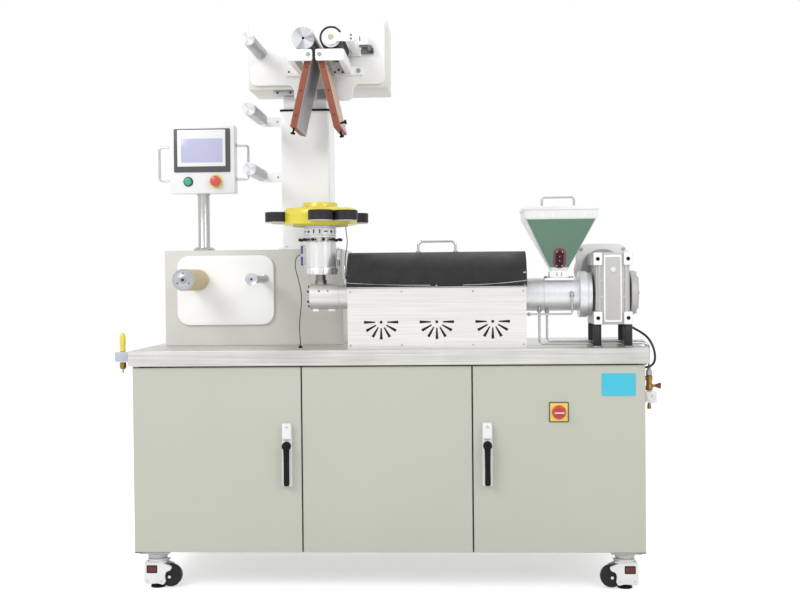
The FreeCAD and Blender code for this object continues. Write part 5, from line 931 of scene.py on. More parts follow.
def make_tower():
    mast = slab((-308, 443.5, 1162), 176, 195, 503, 9, 0.8, "z")
    foot = slab((-308, 443.5, 1162), 200, 219, 8, 6, 1.2, "z")
    neck = slab((-308, 435.5, 1671), 160, 163, 66, 8, 0.6, "z")
    bars = [slab(((-473.5 - 390) / 2, 358, z), 83.5, 34, 14, 5, 1.6) for z in (1629, 1427)]
    piece("Mast", "Mast white", [mast, foot, neck] + bars, "machine_white", "tower_column")
    collar = slab((-308, 443.5, 1665), 184, 203, 7, 9, 2.0, "z")
    piece("Mast_collar", "Black plastic", [collar], "black_plastic")
    bolts = []
    for sx in (-1, 1):
        for deep in (340, 547):
            bolts.append(hexagon((-308 + sx * 72, deep, 1169.8), 8, 4, "z", 0.5))
    for z in (1629, 1427):
        bolts.append(screw((-456.5, 357.8, z + 12.0), 2.6))
        bolts.append(screw((-410, 357.8, z), 3.6))
    piece("Mast_bolts", "Zinc", bolts, "zinc")
    piece("Head_case", "Head grey", [box_slab("head_box", 3.0, 3.0)], "machine_white", "head_box")
    corners = [(-498.5, 1750), (-339.5, 1750), (-339.5, 1693), (-126.5, 1693), (-126.5, 1750), (-11.5, 1750),
               (-11.5, 1976.5), (-498.5, 1976.5)]
    plate = softened_outline(corners, 29, 8)
    piece("Head_face", "Machine white", [cut_plate(plate, 292, 12, 2.2)], "machine_white", "head_plate")
    pocket = [slab((-226, 291.2, 1717), 62, 34, 1.4, 3, 0.5)]
    piece("Head_face_window", "Bezel grey", pocket, "machine_white")
    clamp = [slab((-380, 322, 1729.5), 76, 22, 20, 2, 1.2), slab((-380, 321.2, 1720.4), 76, 3.6, 2, 1, 0.6)]
    piece("Head_clamp", "Zinc", clamp, "zinc")
    piece("Head_clamp_screws", "Dark steel",
          [screw((-404, 321.8, 1729), 4.2), screw((-356, 321.8, 1729), 4.2)], "dark_steel")
    for name, body, z, back in (("head_roller", "head_guide", 1864.0, 303.5),
                                ("upper_tower_roller", "upper_guide", 1629.0, 371.5),
                                ("lower_tower_roller", "lower_guide", 1427.0, 371.5)):
        tube_part, cap = idler(-456.5, z, 15, back)
        title = name.capitalize()
        piece(title + "_tube", "Roller grey", [tube_part], "chrome_roll", name, body=body)
        # painted sheen on the end caps: the light colour and the darker shade swing by angle round the
        # roller's axis
        lathe_finish_with_painted_sheen("Roller end " + name, (-456.5, z), (232, 233, 235), (196, 198, 202))
        piece(title + "_cap", "Roller end " + name, [cap], "chrome_roll", body=body)


def make_nip():
    x, z = -270.0, 1862.5
    # painted sheen on the drive roll's end: the light colour and the darker shade swing by angle round its
    # axis
    lathe_finish_with_painted_sheen("Drive roll end", (x, z), (222, 223, 226), (160, 162, 167))
    face = turned((x, 0, z), [(38, 27), (39, 26), (39, 16), (38.2, 15), (5, 15), (4.6, 16), (4.6, 24)], "y",
                  72)
    body = turned((x, 0, z), [(38, 26.4), (39, 27), (39, 274), (38, 275), (12, 275), (12, 303.5)], "y", 72)
    piece("Drive_roll_face", "Drive roll end", [face], "chrome_roll", "drive_nip_roller", body="drive_roll")
    piece("Drive_roll_tube", "Roller steel", [body], "chrome_roll", body="drive_roll")
    piece("Drive_roll_centre", "Bolt black",
          [turned((x, 0, z), [(4.7, 17), (4.7, 15.6), (1, 15.4)], "y", 24)], "dark_steel", body="drive_roll")
    x = -176.0
    sleeve = turned((x, 0, z), [(33, 21), (33, 15.6), (34, 15), (38, 15), (39, 16), (39, 261), (38, 262),
                                (30, 262)], "y", 72)
    piece("Rubber_sleeve", "Rubber", [sleeve], "rubber_roll", "rubber_nip_roller", body="rubber_roll")
    core = turned((x, 0, z), [(32.8, 24), (32.8, 17.6), (32, 16.8), (14, 16.8), (13, 15.6), (10, 15.4)], "y",
                  64)
    piece("Rubber_roll_core", "Machine white", [core], "machine_white", body="rubber_roll")
    stub = turned((x, 0, z), [(9.8, 16), (9.8, 3), (9, 2.2), (3, 2.2), (2.6, 3.4), (0.8, 3.4)], "y", 36)
    stub2 = turned((x, 0, z), [(9.8, 261), (9.8, 274)], "y", 36)
    piece("Rubber_roll_shaft", "Shaft ivory", [stub, stub2], "brass", body="rubber_roll")
    # the yoke: two arms from hubs with a bore, a tie along the roller and a carriage on the rail
    arms = []
    for deep in (3.0, 264.0):
        outline = [(x + 25 * math.cos(t), z + 25 * math.sin(t)) for t in np.radians(np.arange(35, 326, 10))]
        outline += [(-140, z - 14), (-117, z - 14), (-107, z - 14), (-96, z - 4), (-96, z + 10),
                    (-106, z + 14)]
        hub = np.array(outline)
        turn = np.arctan2(hub[:, 1] - z, hub[:, 0] - x)
        bore = np.column_stack([x + 10.3 * np.cos(turn), z + 10.3 * np.sin(turn)])
        arms.append(np.array([layer(flat, deep + far) for flat, far in (
            (bore, 0.3), (hub, 1.2), (hub, 8.8), (bore, 9.7), (bore, 0.3))]))
    piece("Yoke_arms", "Machine white", arms, "machine_white", "nip_yoke", body="yoke", looped=True)
    tie = slab((-112, 3.4, z), 26, 27, 270, 3, 1.2)
    truck_top = slab((-112, 264, z + 10.4), 36, 7, 26, 2, 1)
    truck_low = slab((-112, 264, z - 10.4), 36, 7, 26, 2, 1)
    piece("Yoke_tie", "Machine white", [tie, truck_top, truck_low], "machine_white", body="yoke")
    piece("Yoke_screws", "Dark steel", [screw((-108, 3.2, z + 5), 3.2), screw((-108, 3.2, z - 7), 3.2)],
          "dark_steel", body="yoke")
    frame_parts = []
    for left, right, side in ((-322, -238.5, -1), (-227.5, -131, 1)):
        outline = [(left, 1784), (right, 1784), (right, 1822), (left, 1822)]
        frame_parts.append(cut_plate(softened_outline(outline, 7, 5), -2, 12, 1.4))
        beam = left + 11 if side < 0 else right - 11
        frame_parts.append(slab((beam, 9, 1803), 22, 37, 272, 3, 1.2))
    frame_parts.append(slab((-228.5, 280, 1796.5), 275, 31, 12, 3, 1.4))
    frame_parts.append(slab((-86, 256, 1902), 36, 36, 36, 3, 1.6))
    piece("Nip_bars", "Machine white", frame_parts, "machine_white", "nip_frame")
    rail = [slab((-101.5, 276, 1862.5), 100.6, 12, 16.2, 1.5, 0.8)]
    rail += [rod([(side, -1, 1804.5), (side, 281, 1804.5)], 5, 20) for side in (-252, -214)]
    rail += [slab((-63, 258, 1873), 14, 20, 24, 2, 1.2), slab((-86, 262, 1879), 40, 8, 22, 1.5, 1.0)]
    piece("Nip_rail", "Steel dark grey", rail, "zinc")
    discs = []
    for side in (-252, -214):
        discs.append(turned((side, 0, 1804.5), [(7.5, -1.8), (7.5, -3.6), (6.6, -4.4), (2.4, -4.4),
                                                (2, -3.4),
                                                (0.6, -3.4)], "y", 32))
    discs.append(turned((-106, 0, 1796.5), [(8, 280.4), (8, 277.5), (7, 276.6), (2.6, 276.6), (2.2, 278),
                                            (0.6, 278)], "y", 28))
    piece("Nip_screws", "Zinc", discs, "zinc")
    small = [screw((-190 + 14 * k, 279.8, 1792 + 8 * (k % 2)), 3.6) for k in range(3)]
    small += [slab((-98, 255.4, 1905), 3.2, 16, 1.2, 1, 0.3), screw((-355, 279.8, 1796), 3.4),
              slab((-54, 257, 1866), 5, 16, 26, 1.5, 0.8)]
    piece("Nip_dark_bits", "Bolt black", small, "dark_steel")


def make_boards():
    z0 = 1804.5
    for name, side in (("board_left", -1), ("board_right", 1)):
        x0 = -233.0 + side * 19
        spin = turn_about("Y", -side * 12.9)
        body = name.split("_")[1] + "_flap"

        def tilt(rings, x0=x0, spin=spin):
            return placed(placed(rings, move=(x0, 0, z0)), turn=spin, pivot=(x0, 0, z0))

        core = slab((0, 20, -118.5), 22, 255, 250, 2.5, 1.2)
        foot = [slab((s * 8, 20.4, -240), 7, 11.5, 249, 2, 1) for s in (-1, 1)]
        piece(name.capitalize() + "_core", "Board edge", [tilt(core)] + [tilt(f) for f in foot],
              "board_brown", name, body=body)
        inner = slab((-side * 11.4, 21, -120), 1.4, 250, 248, 0.6, 0.5)
        outer = slab((side * 11.4, 21, -120), 1.4, 250, 248, 0.6, 0.5)
        piece(name.capitalize() + "_inner_sheet", "Board face", [tilt(inner)], "board_brown", body=body)
        piece(name.capitalize() + "_outer_sheet", "Board paint", [tilt(outer)], "board_brown", body=body)
        screws = [screw((0, 19.8, z), 2.4) for z in (-40, -120, -205)]
        screws += [turned((side * 11.9, y, z), [(3.2, 0), (3.2, side * 0.8), (2.2, side * 1.6),
                                                (0.6, side * 1.6)], "x", 16)
                   for y in (34, 145, 256) for z in (-30, -215)]
        piece(name.capitalize() + "_screws", "Bolt black", [tilt(s) for s in screws], "dark_steel",
              body=body)
        knobs = []
        spots = [(0, 40)] if side < 0 else [(0, 145)]
        for x, y in spots:
            knobs.append(turned((x, y, -246), [(3.5, 1), (3.5, -14.5), (6.4, -15), (8, -16.4), (8, -20.6),
                                               (6.6, -22),
                                               (1, -22)], "z", 28))
        if side > 0:
            knobs.append(turned((12, 32, -236), [(3.5, -1), (3.5, 14.5), (6.4, 15), (8, 16.4), (8, 20.6),
                                                 (6.6, 22),
                                                 (1, 22)], "x", 28))
        piece(name.capitalize() + "_knobs", "Black plastic", [tilt(k) for k in knobs], "black_plastic",
              body=body)


def make_film_head():
    """The air ring, its six blowers and the die below them."""
    x, deep = FILM_X, FILM_D
    ring = turned((x, deep, 0), [(50, 1236.2), (97, 1236.2), (97, 1240), (126, 1240), (128, 1242),
                                 (128, 1268.6),
                                 (127.2, 1269.2), (127.2, 1270.2), (128, 1270.8), (128, 1286), (126.6, 1289),
                                 (120.6, 1295.6), (117.6, 1297.6), (112, 1298), (62, 1298), (60.4, 1299.4),
                                 (60, 1301), (60, 1314.6), (58.6, 1316.8), (54, 1317), (50.6, 1316.4),
                                 (43, 1300), (42, 1298), (42, 1238)], "z", 96)
    piece("Air_ring_body", "Ring enamel", [np.concatenate([ring, ring[:1]])], "tool_yellow", "air_ring",
          looped=True)
    under = turned((x, deep, 0), [(96.4, 1239.8), (96.4, 1236), (95.4, 1235.2), (52, 1235.2)], "z", 72)
    piece("Air_ring_underplate", "Cast alloy", [under], "zinc")
    bolts = [screw((x + 92 * c, deep + 92 * s, 1297.8), 3.4, "z", 1) for c, s in circle(8, 22.5)]
    piece("Air_ring_bolts", "Bolt black", bolts, "dark_steel")
    scrolls, strips, grills = [], [], []
    for pair in range(3):
        for half in (-1, 1):
            t = math.radians(174 + 120 * pair + half * 17)
            bx, by = x + 148 * math.cos(t), deep + 148 * math.sin(t)
            turn = np.arange(72) * 2 * math.pi / 72
            edge = np.column_stack([bx + 42.5 * np.cos(turn), by + 42.5 * np.sin(turn)])
            far = np.hypot(edge[:, 0] - x, edge[:, 1] - deep)
            push = np.maximum(128.3 / far, 1.0)
            edge = np.column_stack([x + (edge[:, 0] - x) * push, deep + (edge[:, 1] - deep) * push])
            middle = edge.mean(axis=0)
            for made, steps in ((scrolls, ((0.965, 1251), (1, 1252.6), (1, 1266.6), (0.985, 1267.2),
                                           (0.985, 1268.4),
                                           (1, 1269), (1, 1282.8), (0.965, 1284.5))),
                                (strips, ((0.8, 1248.8), (0.93, 1248.8), (0.955, 1249.6), (0.955, 1251.2)))):
                made.append(np.array([layer(middle + (edge - middle) * shrink, z, "z")
                                      for shrink, z in steps]))
            for r in (8, 14, 20, 26):
                grills.append(turned((bx, by, 0), [(r - 0.9, 1284.4), (r - 0.9, 1285.3), (r + 0.9, 1285.3),
                                                   (r + 0.9, 1284.4)], "z", 32))
            for k in range(4):
                a = t + math.radians(45 + 90 * k)
                line = [(bx + q * math.cos(a), by + q * math.sin(a), 1284.9) for q in (6, 27)]
                grills.append(rod(line, 0.9, 6))
    piece("Blower_scrolls", "Blower plastic", scrolls, "black_plastic", "blowers")
    piece("Blower_gaskets", "Cream", strips, "machine_white")
    piece("Blower_grilles", "Bolt black", grills, "dark_steel")
    body = turned((x, deep, 0), [(16, 1035.6), (16, 1067), (20, 1068), (56, 1068), (57, 1069), (57, 1091.6),
                                 (56, 1093), (55, 1093.4), (55, 1181.6), (53.6, 1183), (48, 1183.4),
                                 (47, 1184.4), (47, 1194), (48, 1195), (53.6, 1195), (55, 1196.4),
                                 (55, 1234.6), (53.6, 1236), (40, 1236), (31, 1237), (31, 1260),
                                 (29.6, 1261.6),
                                 (24, 1262)], "z", 96)
    piece("Die_body", "Die steel", [body], "machined", "die_head")
    block = slab((-291, 138, 1138), 22, 62, 14, 2, 1.0)
    piece("Terminal_block", "Cast alloy", [block], "machined")
    sleeves = [rod([(-297.5, 140, z) for z in (lo, lo + 1, hi - 1, hi)], np.array([3.6, 4.4, 4.4, 3.6]), 18)
               for lo, hi in ((1101, 1132), (1141, 1170))]
    piece("Terminal_sleeves", "Sleeve violet", sleeves, "cable_black")
    spots = np.array([(44, 3.0), (66, 3.0), (66.6, 4.4), (68, 5.4), (73, 5.4), (74, 4.6), (76.6, 4.6),
                      (77, 3.6)])
    radial = [rod(np.array([x, deep, 1189]) + spots[:, :1] * np.array([c, s, 0]), spots[:, 1])
              for c, s in circle(12, 15)]
    piece("Die_radial_bolts", "Bolt black", radial, "dark_steel")
    # painted shade: dark patches on the die's upper part stand in for the shaded insides of its holes and
    # slots
    slot_shade = []
    for k, (c, s) in enumerate(circle(16, -86)):
        way, side = np.array([c, s, 0]), np.array([-s, c, 0])
        if k % 3 == 2:
            line = np.array([x, deep, 1216]) + np.array([[54.2], [55.5]]) * way
            slot_shade.append(rod(line, 4.2, 18))
        else:
            flat = rounded_outline(13 if k % 3 else 4.4, 4.6 if k % 3 else 15, 2.1, 4)
            rings = [np.array([x, deep, 1217]) + far * way + flat[:, :1] * side
                     + flat[:, 1:] * np.array([0, 0, 1]) for far in (53.2, 55.3)]
            slot_shade.append(np.array(rings))
    piece("Die_hole_painted_shade", "Bolt black", slot_shade, "dark_steel")
    bands = [turned((x, deep, 0), [(55, z), (55.7, z + 0.4), (55.7, z + 1.6), (55, z + 2)], "z", 96)
             for z in (1203, 1228)]
    marks = [rod([(x + 57 * c, deep + 57 * s, z) for z in (1069.5, 1091)], 0.8, 6)
             for c, s in circle(10, -75)]
    piece("Die_bands", "Machined", bands, "machined")
    piece("Die_joints", "Dark steel", marks, "dark_steel")
    neck = turned((x, deep, 0), [(16.4, 1037), (20, 1038), (20, 1049), (17.6, 1051), (16.4, 1052)], "z", 6)
    sleeve = turned((x, deep, 0), [(16.4, 1051), (17.2, 1052), (17.2, 1066), (16.4, 1067)], "z", 48)
    piece("Die_neck_nut", "Brass grey", [neck, sleeve], "machined")
    bracket = [slab((-171, 139, 1137), 14, 34, 12, 2.5, 1.2),
               rod([(-171, 150, 1121), (-171, 150, 1098)], 4, 18),
               rod([(-171, 150, 1154), (-171, 150, 1162)], 3, 18)]
    piece("Die_bracket", "Chrome", bracket, "zinc")
    piece("Die_bracket_plug", "Orange plastic",
          [turned((-176.5, 0, 1082), [(3.6, 142), (4.4, 140.6), (4.4, 136.6), (3.4, 135.6), (1, 135.6)], "y",
                  24)],
          "red_plastic")


def make_adaptor():
    axis = (0, FILM_D, BARREL_Z)
    shape = [(-271, 40), (-270, 43.2), (-268.4, 44.5), (-169.4, 44.5), (-168.8, 43.4), (-167.2, 43.4),
             (-166.6, 44.5),
             (-131.2, 44.5)]
    body = turned(axis, [(r, h) for h, r in shape], "x", 72)
    face = turned(axis, [(40, -271), (40, -270.6), (20, -270.8), (19, -272.4), (9, -272.4), (8.4, -270.6),
                         (1, -270.6)], "x", 48)
    piece("Adaptor_body", "Die steel side", [body], "machined", "die_adaptor")
    piece("Adaptor_face", "Machined", [face], "machined")
    bolts = [turned((0, axis[1] + 34 * c, axis[2] + 34 * s),
                    [(4, -270.8), (4, -277), (3.4, -278), (1.8, -278),
                                                              (1.6, -275.6)], "x", 18)
             for c, s in circle(6, 30)]
    piece("Adaptor_bolts", "Bolt black", bolts, "dark_steel")
    spot = (-147.5, 141, 0)
    probe = turned(spot, [(4, 1030), (4, 1053), (4, 1096.6), (3.2, 1098)], "z", 24)
    piece("Probe", "Chrome", [probe, hexagon((-147.5, 141, 1034), 14, 19, "z", 0.8)], "zinc")
    feet = [slab((cx, 132, 945.5), 22, 8, 26, 2, 1) for cx in (-250, -195)]
    piece("Adaptor_pads", "Machine white", feet, "machine_white")
    piece("Adaptor_mark", "Brass",
          [hexagon((-236, 102.2, 1012), 7, 2.6, "y", 0.4), screw((-205, 103.6, 1012), 2.6)], "brass")


def make_guard(sizes):
    screws = [screw((gx, 29.8, gz), sizes.screw * 0.8) for gx in (-121, 52, 292, 461) for gz in (1008, 828)]
    piece("Guard_screws", "Zinc", screws, "zinc")
    # painted shade: thin black sheets behind the guard's three vents stand in for the shaded space below the
    # barrel
    vent_shade = [slab((gx, 34, 886), 124, 74, 2, 4, 0.6) for gx in (-17.6, 170.1, 357.8)]
    piece("Guard_vent_painted_shade", "Bolt black", vent_shade, "dark_steel")
    # the lid: a half-round sheet on short straight sides, with a rolled front edge and an end clip
    mid, low, top, half = FILM_D, 1021.0, 1143.0, 117.0
    rise = top - low
    t = np.linspace(-math.pi / 2, math.pi / 2, 41)
    arch = np.column_stack([mid + half * np.sin(t), low + rise * np.cos(t) ** 0.92])
    arch[0, 1] = arch[-1, 1] = low

    inner = (arch - [mid, low]) * 0.983 + [mid, low]
    loop = np.concatenate([arch, inner[::-1]])
    rings = np.array([np.column_stack([np.full(len(loop), gx), loop]) for gx in (-133.6, -133.0, 473.0,
                                                                                 473.6)])
    piece("Lid_sheet", "Lid paint", [rings], "black_plastic", "guard_lid", body="lid")
    ends = []
    for gx, reach in ((-133.4, 48.5), (471.8, 60.0)):
        side = math.acos((low - BARREL_Z) / reach)
        notch = np.array([(mid + reach * math.sin(a),
                           BARREL_Z + reach * math.cos(a)) for a in np.linspace(side, -side, 17)])
        ends.append(cut_plate(np.concatenate([arch, notch]), gx, 1.6, 0.2, "x"))
    piece("Lid_ends", "Lid paint", ends, "black_plastic", body="lid")
    fold = rod([(gx, mid - half + 1.2, 1022.6) for gx in (-133, 170, 473)], 1.5, 10)
    # painted reflection: two thin curved stainless rods low on the lid's front stand in for the bright
    # streaks mirrored there
    reflection_streak_left = rod(np.array([(gx, mid - half + 0.9 + 0.004 * s ** 2, 1029 + 0.05 * s ** 2) for gx, s in
                          zip(np.linspace(-132, 150, 15), np.linspace(14, 0, 15))]), 0.9, 8)
    reflection_streak_right = rod(np.array([(gx, mid - half + 0.9 + 0.004 * s ** 2, 1029 + 0.07 * s ** 2) for gx, s in
                           zip(np.linspace(260, 472, 15), np.linspace(0, 14, 15))]), 0.9, 8)
    piece("Lid_fold_and_reflection_streaks", "Stainless", [fold, reflection_streak_left, reflection_streak_right], "sheet_steel", body="lid")
    clip = [slab((466, mid - half * 0.93 - 1, 1065), 9, 14, 2.5, 1.5, 0.6),
            screw((170, mid - half - 0.6, 1027), 3.4), screw((466, mid - half - 0.6, 1027), 3.0)]
    piece("Lid_clip", "Zinc", clip, "zinc", body="lid")
    line = bent([(106.6, mid, 1138), (106.6, mid, 1180.5), (234.6, mid, 1180.5), (234.6, mid, 1138)], 16)
    piece("Lid_handle", "Chrome", [rod(line, 4.5, 18)], "zinc", body="lid")
    feet = [turned((gx, mid, 0), [(9, 1140), (9, 1144.6), (7.6, 1146), (4.6, 1146.4)], "z", 28)
            for gx in (106.6, 234.6)]
    leaf = [rod([(gx - 19, 267, 1020), (gx + 19, 267, 1020)], 3.5, 18) for gx in (-41, 381)]
    leaf += [slab((gx, 258, 1022.4), 38, 3, 10, 1, 0.5) for gx in (-41, 381)]
    piece("Lid_hinges", "Zinc", feet + leaf, "zinc", body="lid")


def make_hopper():
    x, deep = 588.0, FILM_D

    def square(side, z, corner):
        flat = rounded_outline(side, side, corner, 4)
        return layer(flat + [x, deep], z, "z")

    inside = np.array([square(s, z, c) for s, z, c in (
        (54, 1050, 3), (54, 1077, 3), (236, 1252, 3), (238.6, 1255, 3), (238.6, 1286, 3), (243, 1286, 4),
        (243, 1254, 4), (242.4, 1252, 4), (240, 1250.6, 4), (60, 1078, 4), (58, 1076, 4), (58, 1050, 4),
        (54, 1050, 3))])
    piece("Hopper_shell", "Hopper shell", [inside], "sheet_steel", "hopper", looped=True, angle=25)
    # painted reflection: a green panel laid on the sloping face, inset from its folded edges, stands in for
    # the green surroundings mirrored in the polished front
    slope = math.atan2(90, 173)
    panel = []
    for far, gap in ((0.0, 3.0), (1.0, 3.0), (1.5, 3.6)):
        face = []
        for sx, z, side in ((-1, 1246, 235), (1, 1246, 235), (1, 1086, 68.4), (-1, 1086, 68.4)):
            px = x + sx * (side / 2 - gap)
            front = deep - (30 + (z - 1078) * 90 / 173)
            face.append((px, front - far * math.cos(slope), z - far * math.sin(slope)))
        panel.append(face)
    piece("Hopper_front_reflection", "Hopper green reflection", [np.array(panel)], "cabinet_paint")

    def on_slope(rings, z):
        front = deep - (30 + (z - 1078) * 90 / 173)
        return placed(placed(rings, move=(x, front - 1.2 * math.cos(slope), z)),
                      turn=turn_about("X", math.degrees(slope)), pivot=(x, front, z))

    rim = slab((0, -3, 0), 41, 76, 4, 19, 1.2)
    glass = slab((0, -3.8, 0), 27, 62, 2, 12, 0.8)
    bolts = [screw((sx * 9, -3.9, sz), 2.0) for sx in (-1, 1) for sz in (-26, 26)]
    bolts += [screw((0, -4.2, sz), 1.6) for sz in (-8, 8)]
    piece("Hopper_window_rim", "Window rim", [on_slope(rim, 1117)], "red_plastic")
    piece("Hopper_window", "Window glass", [on_slope(glass, 1117)], "black_plastic")
    piece("Hopper_window_bolts", "Chrome", [on_slope(b, 1117) for b in bolts], "zinc")
    seat_plate = slab((x, deep - 49.5, 1045.2), 99, 8, 99, 3, 1.2)
    collar = slab((x, deep - 33, 1062), 66, 22, 66, 3, 1.0)
    piece("Hopper_foot", "Cast white", [seat_plate, collar], "machined")
    studs = [hexagon((x + sx * 40, deep + sy * 40, 1048.6), 12, 7, "z", 0.8) for sx in (-1, 1) for sy in (-1,
                                                                                                          1)]
    studs += [slab((x + sx * 8, deep - 35, 1062), 3, 13, 2, 1, 0.4) for sx in (-1, 1)]
    piece("Hopper_foot_bolts", "Zinc", studs, "zinc")
    lid = np.array([square(s, z, c) for s, z, c in (
        (250, 1277.5, 4), (252, 1278, 5), (252, 1286.4, 5), (250.4, 1289, 5), (247, 1289.8, 4))])
    piece("Hopper_lid_sheet", "Lid steel", [lid], "sheet_steel", "hopper_lid", body="hopper_cover")
    line = bent([(x - 55, deep, 1288), (x - 55, deep, 1327), (x + 55, deep, 1327), (x + 55, deep, 1288)], 10)
    feet = [turned((x + s * 55, deep, 0), [(8, 1289.4), (8, 1291.4), (5, 1292.6)], "z", 24) for s in (-1, 1)]
    piece("Hopper_lid_handle", "Chrome", [rod(line, 4.5, 18)] + feet, "zinc", body="hopper_cover")


def make_drive():
    """The feed tube, the barrel with its heater bands, the gearbox on its legs and the motor."""
    axis = (0, FILM_D, BARREL_Z)
    shape = [(471.2, 34), (471.2, 55), (472.4, 56), (533, 56), (533.8, 54.8), (535.4, 54.8), (536.2, 56),
             (654, 56), (655, 57), (655.2, 77.6), (656.6, 79), (682, 79), (683.4, 77.6), (683.8, 74),
             (697, 74)]
    feed = turned(axis, [(r, h) for h, r in shape], "x", 96)
    piece("Feed_tube", "Feed steel", [feed], "machined", "extruder_barrel")
    barrel = [turned(axis, [(33, -131), (34, -130), (34, 471)], "x", 56)]
    piece("Barrel_tube", "Machined", barrel, "machined")
    bands = []
    for k in range(3):
        start = -131 + 200.67 * k + 25.3
        bands.append(turned(axis, [(35, start), (47, start), (48, start + 1.5), (48, start + 148.5),
                                   (47, start + 150), (35, start + 150)], "x", 64))
        for gx in (start + 30, start + 75, start + 120):
            bands.append(turned(axis, [(48, gx - 7), (49, gx - 6.6), (49, gx + 6.6), (48, gx + 7)], "x", 64))
            bands.append(slab((gx, FILM_D - 6, 1043), 12, 9, 12, 2, 0.8))
    piece("Heater_bands", "Zinc", bands, "zinc")
    ring_bolts = [turned((0, axis[1] + 66 * c, axis[2] + 66 * s), [(5.6, 684), (5.6, 695), (5, 696)], "x", 6)
                  for c, s in circle(8, 22.5)]
    piece("Feed_ring_bolts", "Bolt black", ring_bolts, "dark_steel")
    # gearbox: a ribbed casting between four ears, with a framed cover, a plug and a bearing cap
    mid_x, base, top = 762.5, 891.0, 1134.0
    cast = [slab((mid_x, 59, (base + top) / 2), 113, 243, 172, 6, 3)]
    for ex in (712, 813):
        for ez in (base + 22, top - 22):
            cast.append(slab((ex, 50, ez), 30, 44, 190, 4, 2.4))
        cast.append(slab((ex + (6 if ex < mid_x else -6), 53, (base + top) / 2), 10, 170, 30, 3, 2))
    piece("Gearbox_casting", "Cast alloy", cast, "housing_grey", "gearbox")
    ear_faces = [slab((ex, 49.2, ez), 28, 42, 2, 3.4, 0.8) for ex in (712, 813) for ez in (base + 22,
                                                                                           top - 22)]
    piece("Gearbox_ear_faces", "Cast white", ear_faces, "housing_grey")
    # painted shade: shallow black cups in the four ears stand in for the shaded bolt holes
    hole_shade = [turned((ex, 0, ez), [(6.6, 49.4), (6.6, 48.5), (6.0, 48.3), (5.4, 48.9), (0.8, 48.9)], "y", 28)
             for ex in (712, 813) for ez in (base + 22, top - 22)]
    piece("Gearbox_ear_hole_painted_shade", "Black plastic", hole_shade, "dark_steel")
    border = [slab((mid_x, 55.6, (base + top) / 2), 60, 226, 4, 5, 1.2)]
    cover = [slab((mid_x, 54.2, (base + top) / 2), 50, 212, 3, 3, 1.0)]
    piece("Gearbox_cover_rim", "Cast white", border, "housing_grey")
    piece("Gearbox_cover", "Cast alloy", cover, "housing_grey")
    dots = [screw((mid_x + sx * 38, 59.2, z), 3.0) for sx in (-1, 1) for z in (930, 985, 1040, 1095)]
    dots.append(turned((763.5, 0, 1076), [(8.6, 54.4), (8.6, 51.4), (7.6, 50.4), (3.4, 50.2), (3, 51.6),
                                          (0.8, 51.6)],
                       "y", 32))
    piece("Gearbox_dots", "Lock white", dots, "housing_grey")
    axis = (0, FILM_D, 997.0)
    cap = turned(axis, [(74, 828), (75, 829), (75, 845), (73, 848), (62, 849), (61, 854), (58, 855),
                        (20, 855),
                        (19, 853.4), (1, 853.4)], "x", 72)
    piece("Bearing_cap", "Cast alloy", [cap], "housing_grey")
    studs = [turned((0, axis[1] + 68 * c, axis[2] + 68 * s), [(4.6, 848), (4.6, 853.6), (4, 854.4)], "x", 6)
             for c, s in circle(8)]
    piece("Bearing_cap_bolts", "Zinc", studs, "zinc")
    legs, feet = [], []
    for lx in (-52, 52):
        for ly in (-75, 75):
            spot = (mid_x + lx, FILM_D + ly, 0)
            legs.append(turned(spot, [(13.4, 815.2), (14.2, 816.4), (14.2, 889.6), (13.4, 890.8)], "z", 40))
            feet.append(turned(spot, [(19, 815.1), (19, 818), (17.6, 819.4), (14.3, 819.6)], "z", 32))
    piece("Gearbox_legs_round", "Leg paint", legs, "dark_steel", "gearbox_legs")
    piece("Gearbox_leg_washers", "Zinc", feet, "zinc")
    mx, mz = 751.0, 1076.0
    disc = turned((mx, 0, mz), [(74, 240.2), (74, 247), (70, 248.6), (40, 248.6)], "y", 72)
    plate = slab((mx, 248, mz), 186, 186, 12, 42, 2)
    piece("Motor_disc", "Motor paint", [disc], "housing_grey", "motor")
    piece("Motor_flange", "Cast white", [plate], "housing_grey")
    bolts = [hexagon((mx + sx * 74, 242.6, mz + sz * 74), 11, 6, "y", 0.8) for sx in (-1, 1) for sz in (-1,
                                                                                                        1)]
    piece("Motor_flange_bolts", "Zinc", bolts, "zinc")
    t = np.linspace(0, 2 * math.pi, 32 * 8, endpoint=False)
    wave = np.clip(np.sin(32 * t) * 3.2, -1, 1)
    radius = 68.5 + 3.2 * wave
    fins = np.column_stack([radius * np.cos(t), radius * np.sin(t)])
    rings = np.array([layer(fins * share + [mx, mz], far) for share, far in (
        (0.9, 259), (1, 260), (1, 452), (0.9, 454))])
    piece("Motor_fins", "Motor paint", [rings], "housing_grey")
    cowl = turned((mx, 0, mz), [(70, 455), (75, 455.4), (76, 457), (76, 505), (73, 512), (66, 516),
                                (40, 517),
                                (8, 517)], "y", 64)
    # painted shade: dark rings on the cowl's end stand in for the shaded openings of its grille
    slot_shade = []
    for r in (24, 34, 44, 54):
        slot_shade.append(turned((mx, 0, mz), [(r - 2, 516), (r - 2, 517), (r + 2, 517), (r + 2, 516)], "y", 48))
    piece("Motor_cowl", "Motor paint", [cowl], "housing_grey")
    piece("Motor_cowl_slot_painted_shade", "Bolt black", slot_shade, "dark_steel")
    gland = turned((775, 300, 0), [(6, 984.2), (7.4, 985), (9, 988), (9, 1000), (11, 1001), (11, 1010),
                                   (9, 1011),
                                   (9, 1020)], "z", 24)
    piece("Motor_gland", "Black plastic", [gland], "black_plastic")
    inlet = turned((0, 76, 745), [(8, 857), (11, 860.2), (11, 863), (9, 864.4), (8, 868.2), (5, 869),
                                  (4, 869)],
                   "x", 28)
    piece("Cable_inlet_nut", "Black plastic", [inlet], "black_plastic")


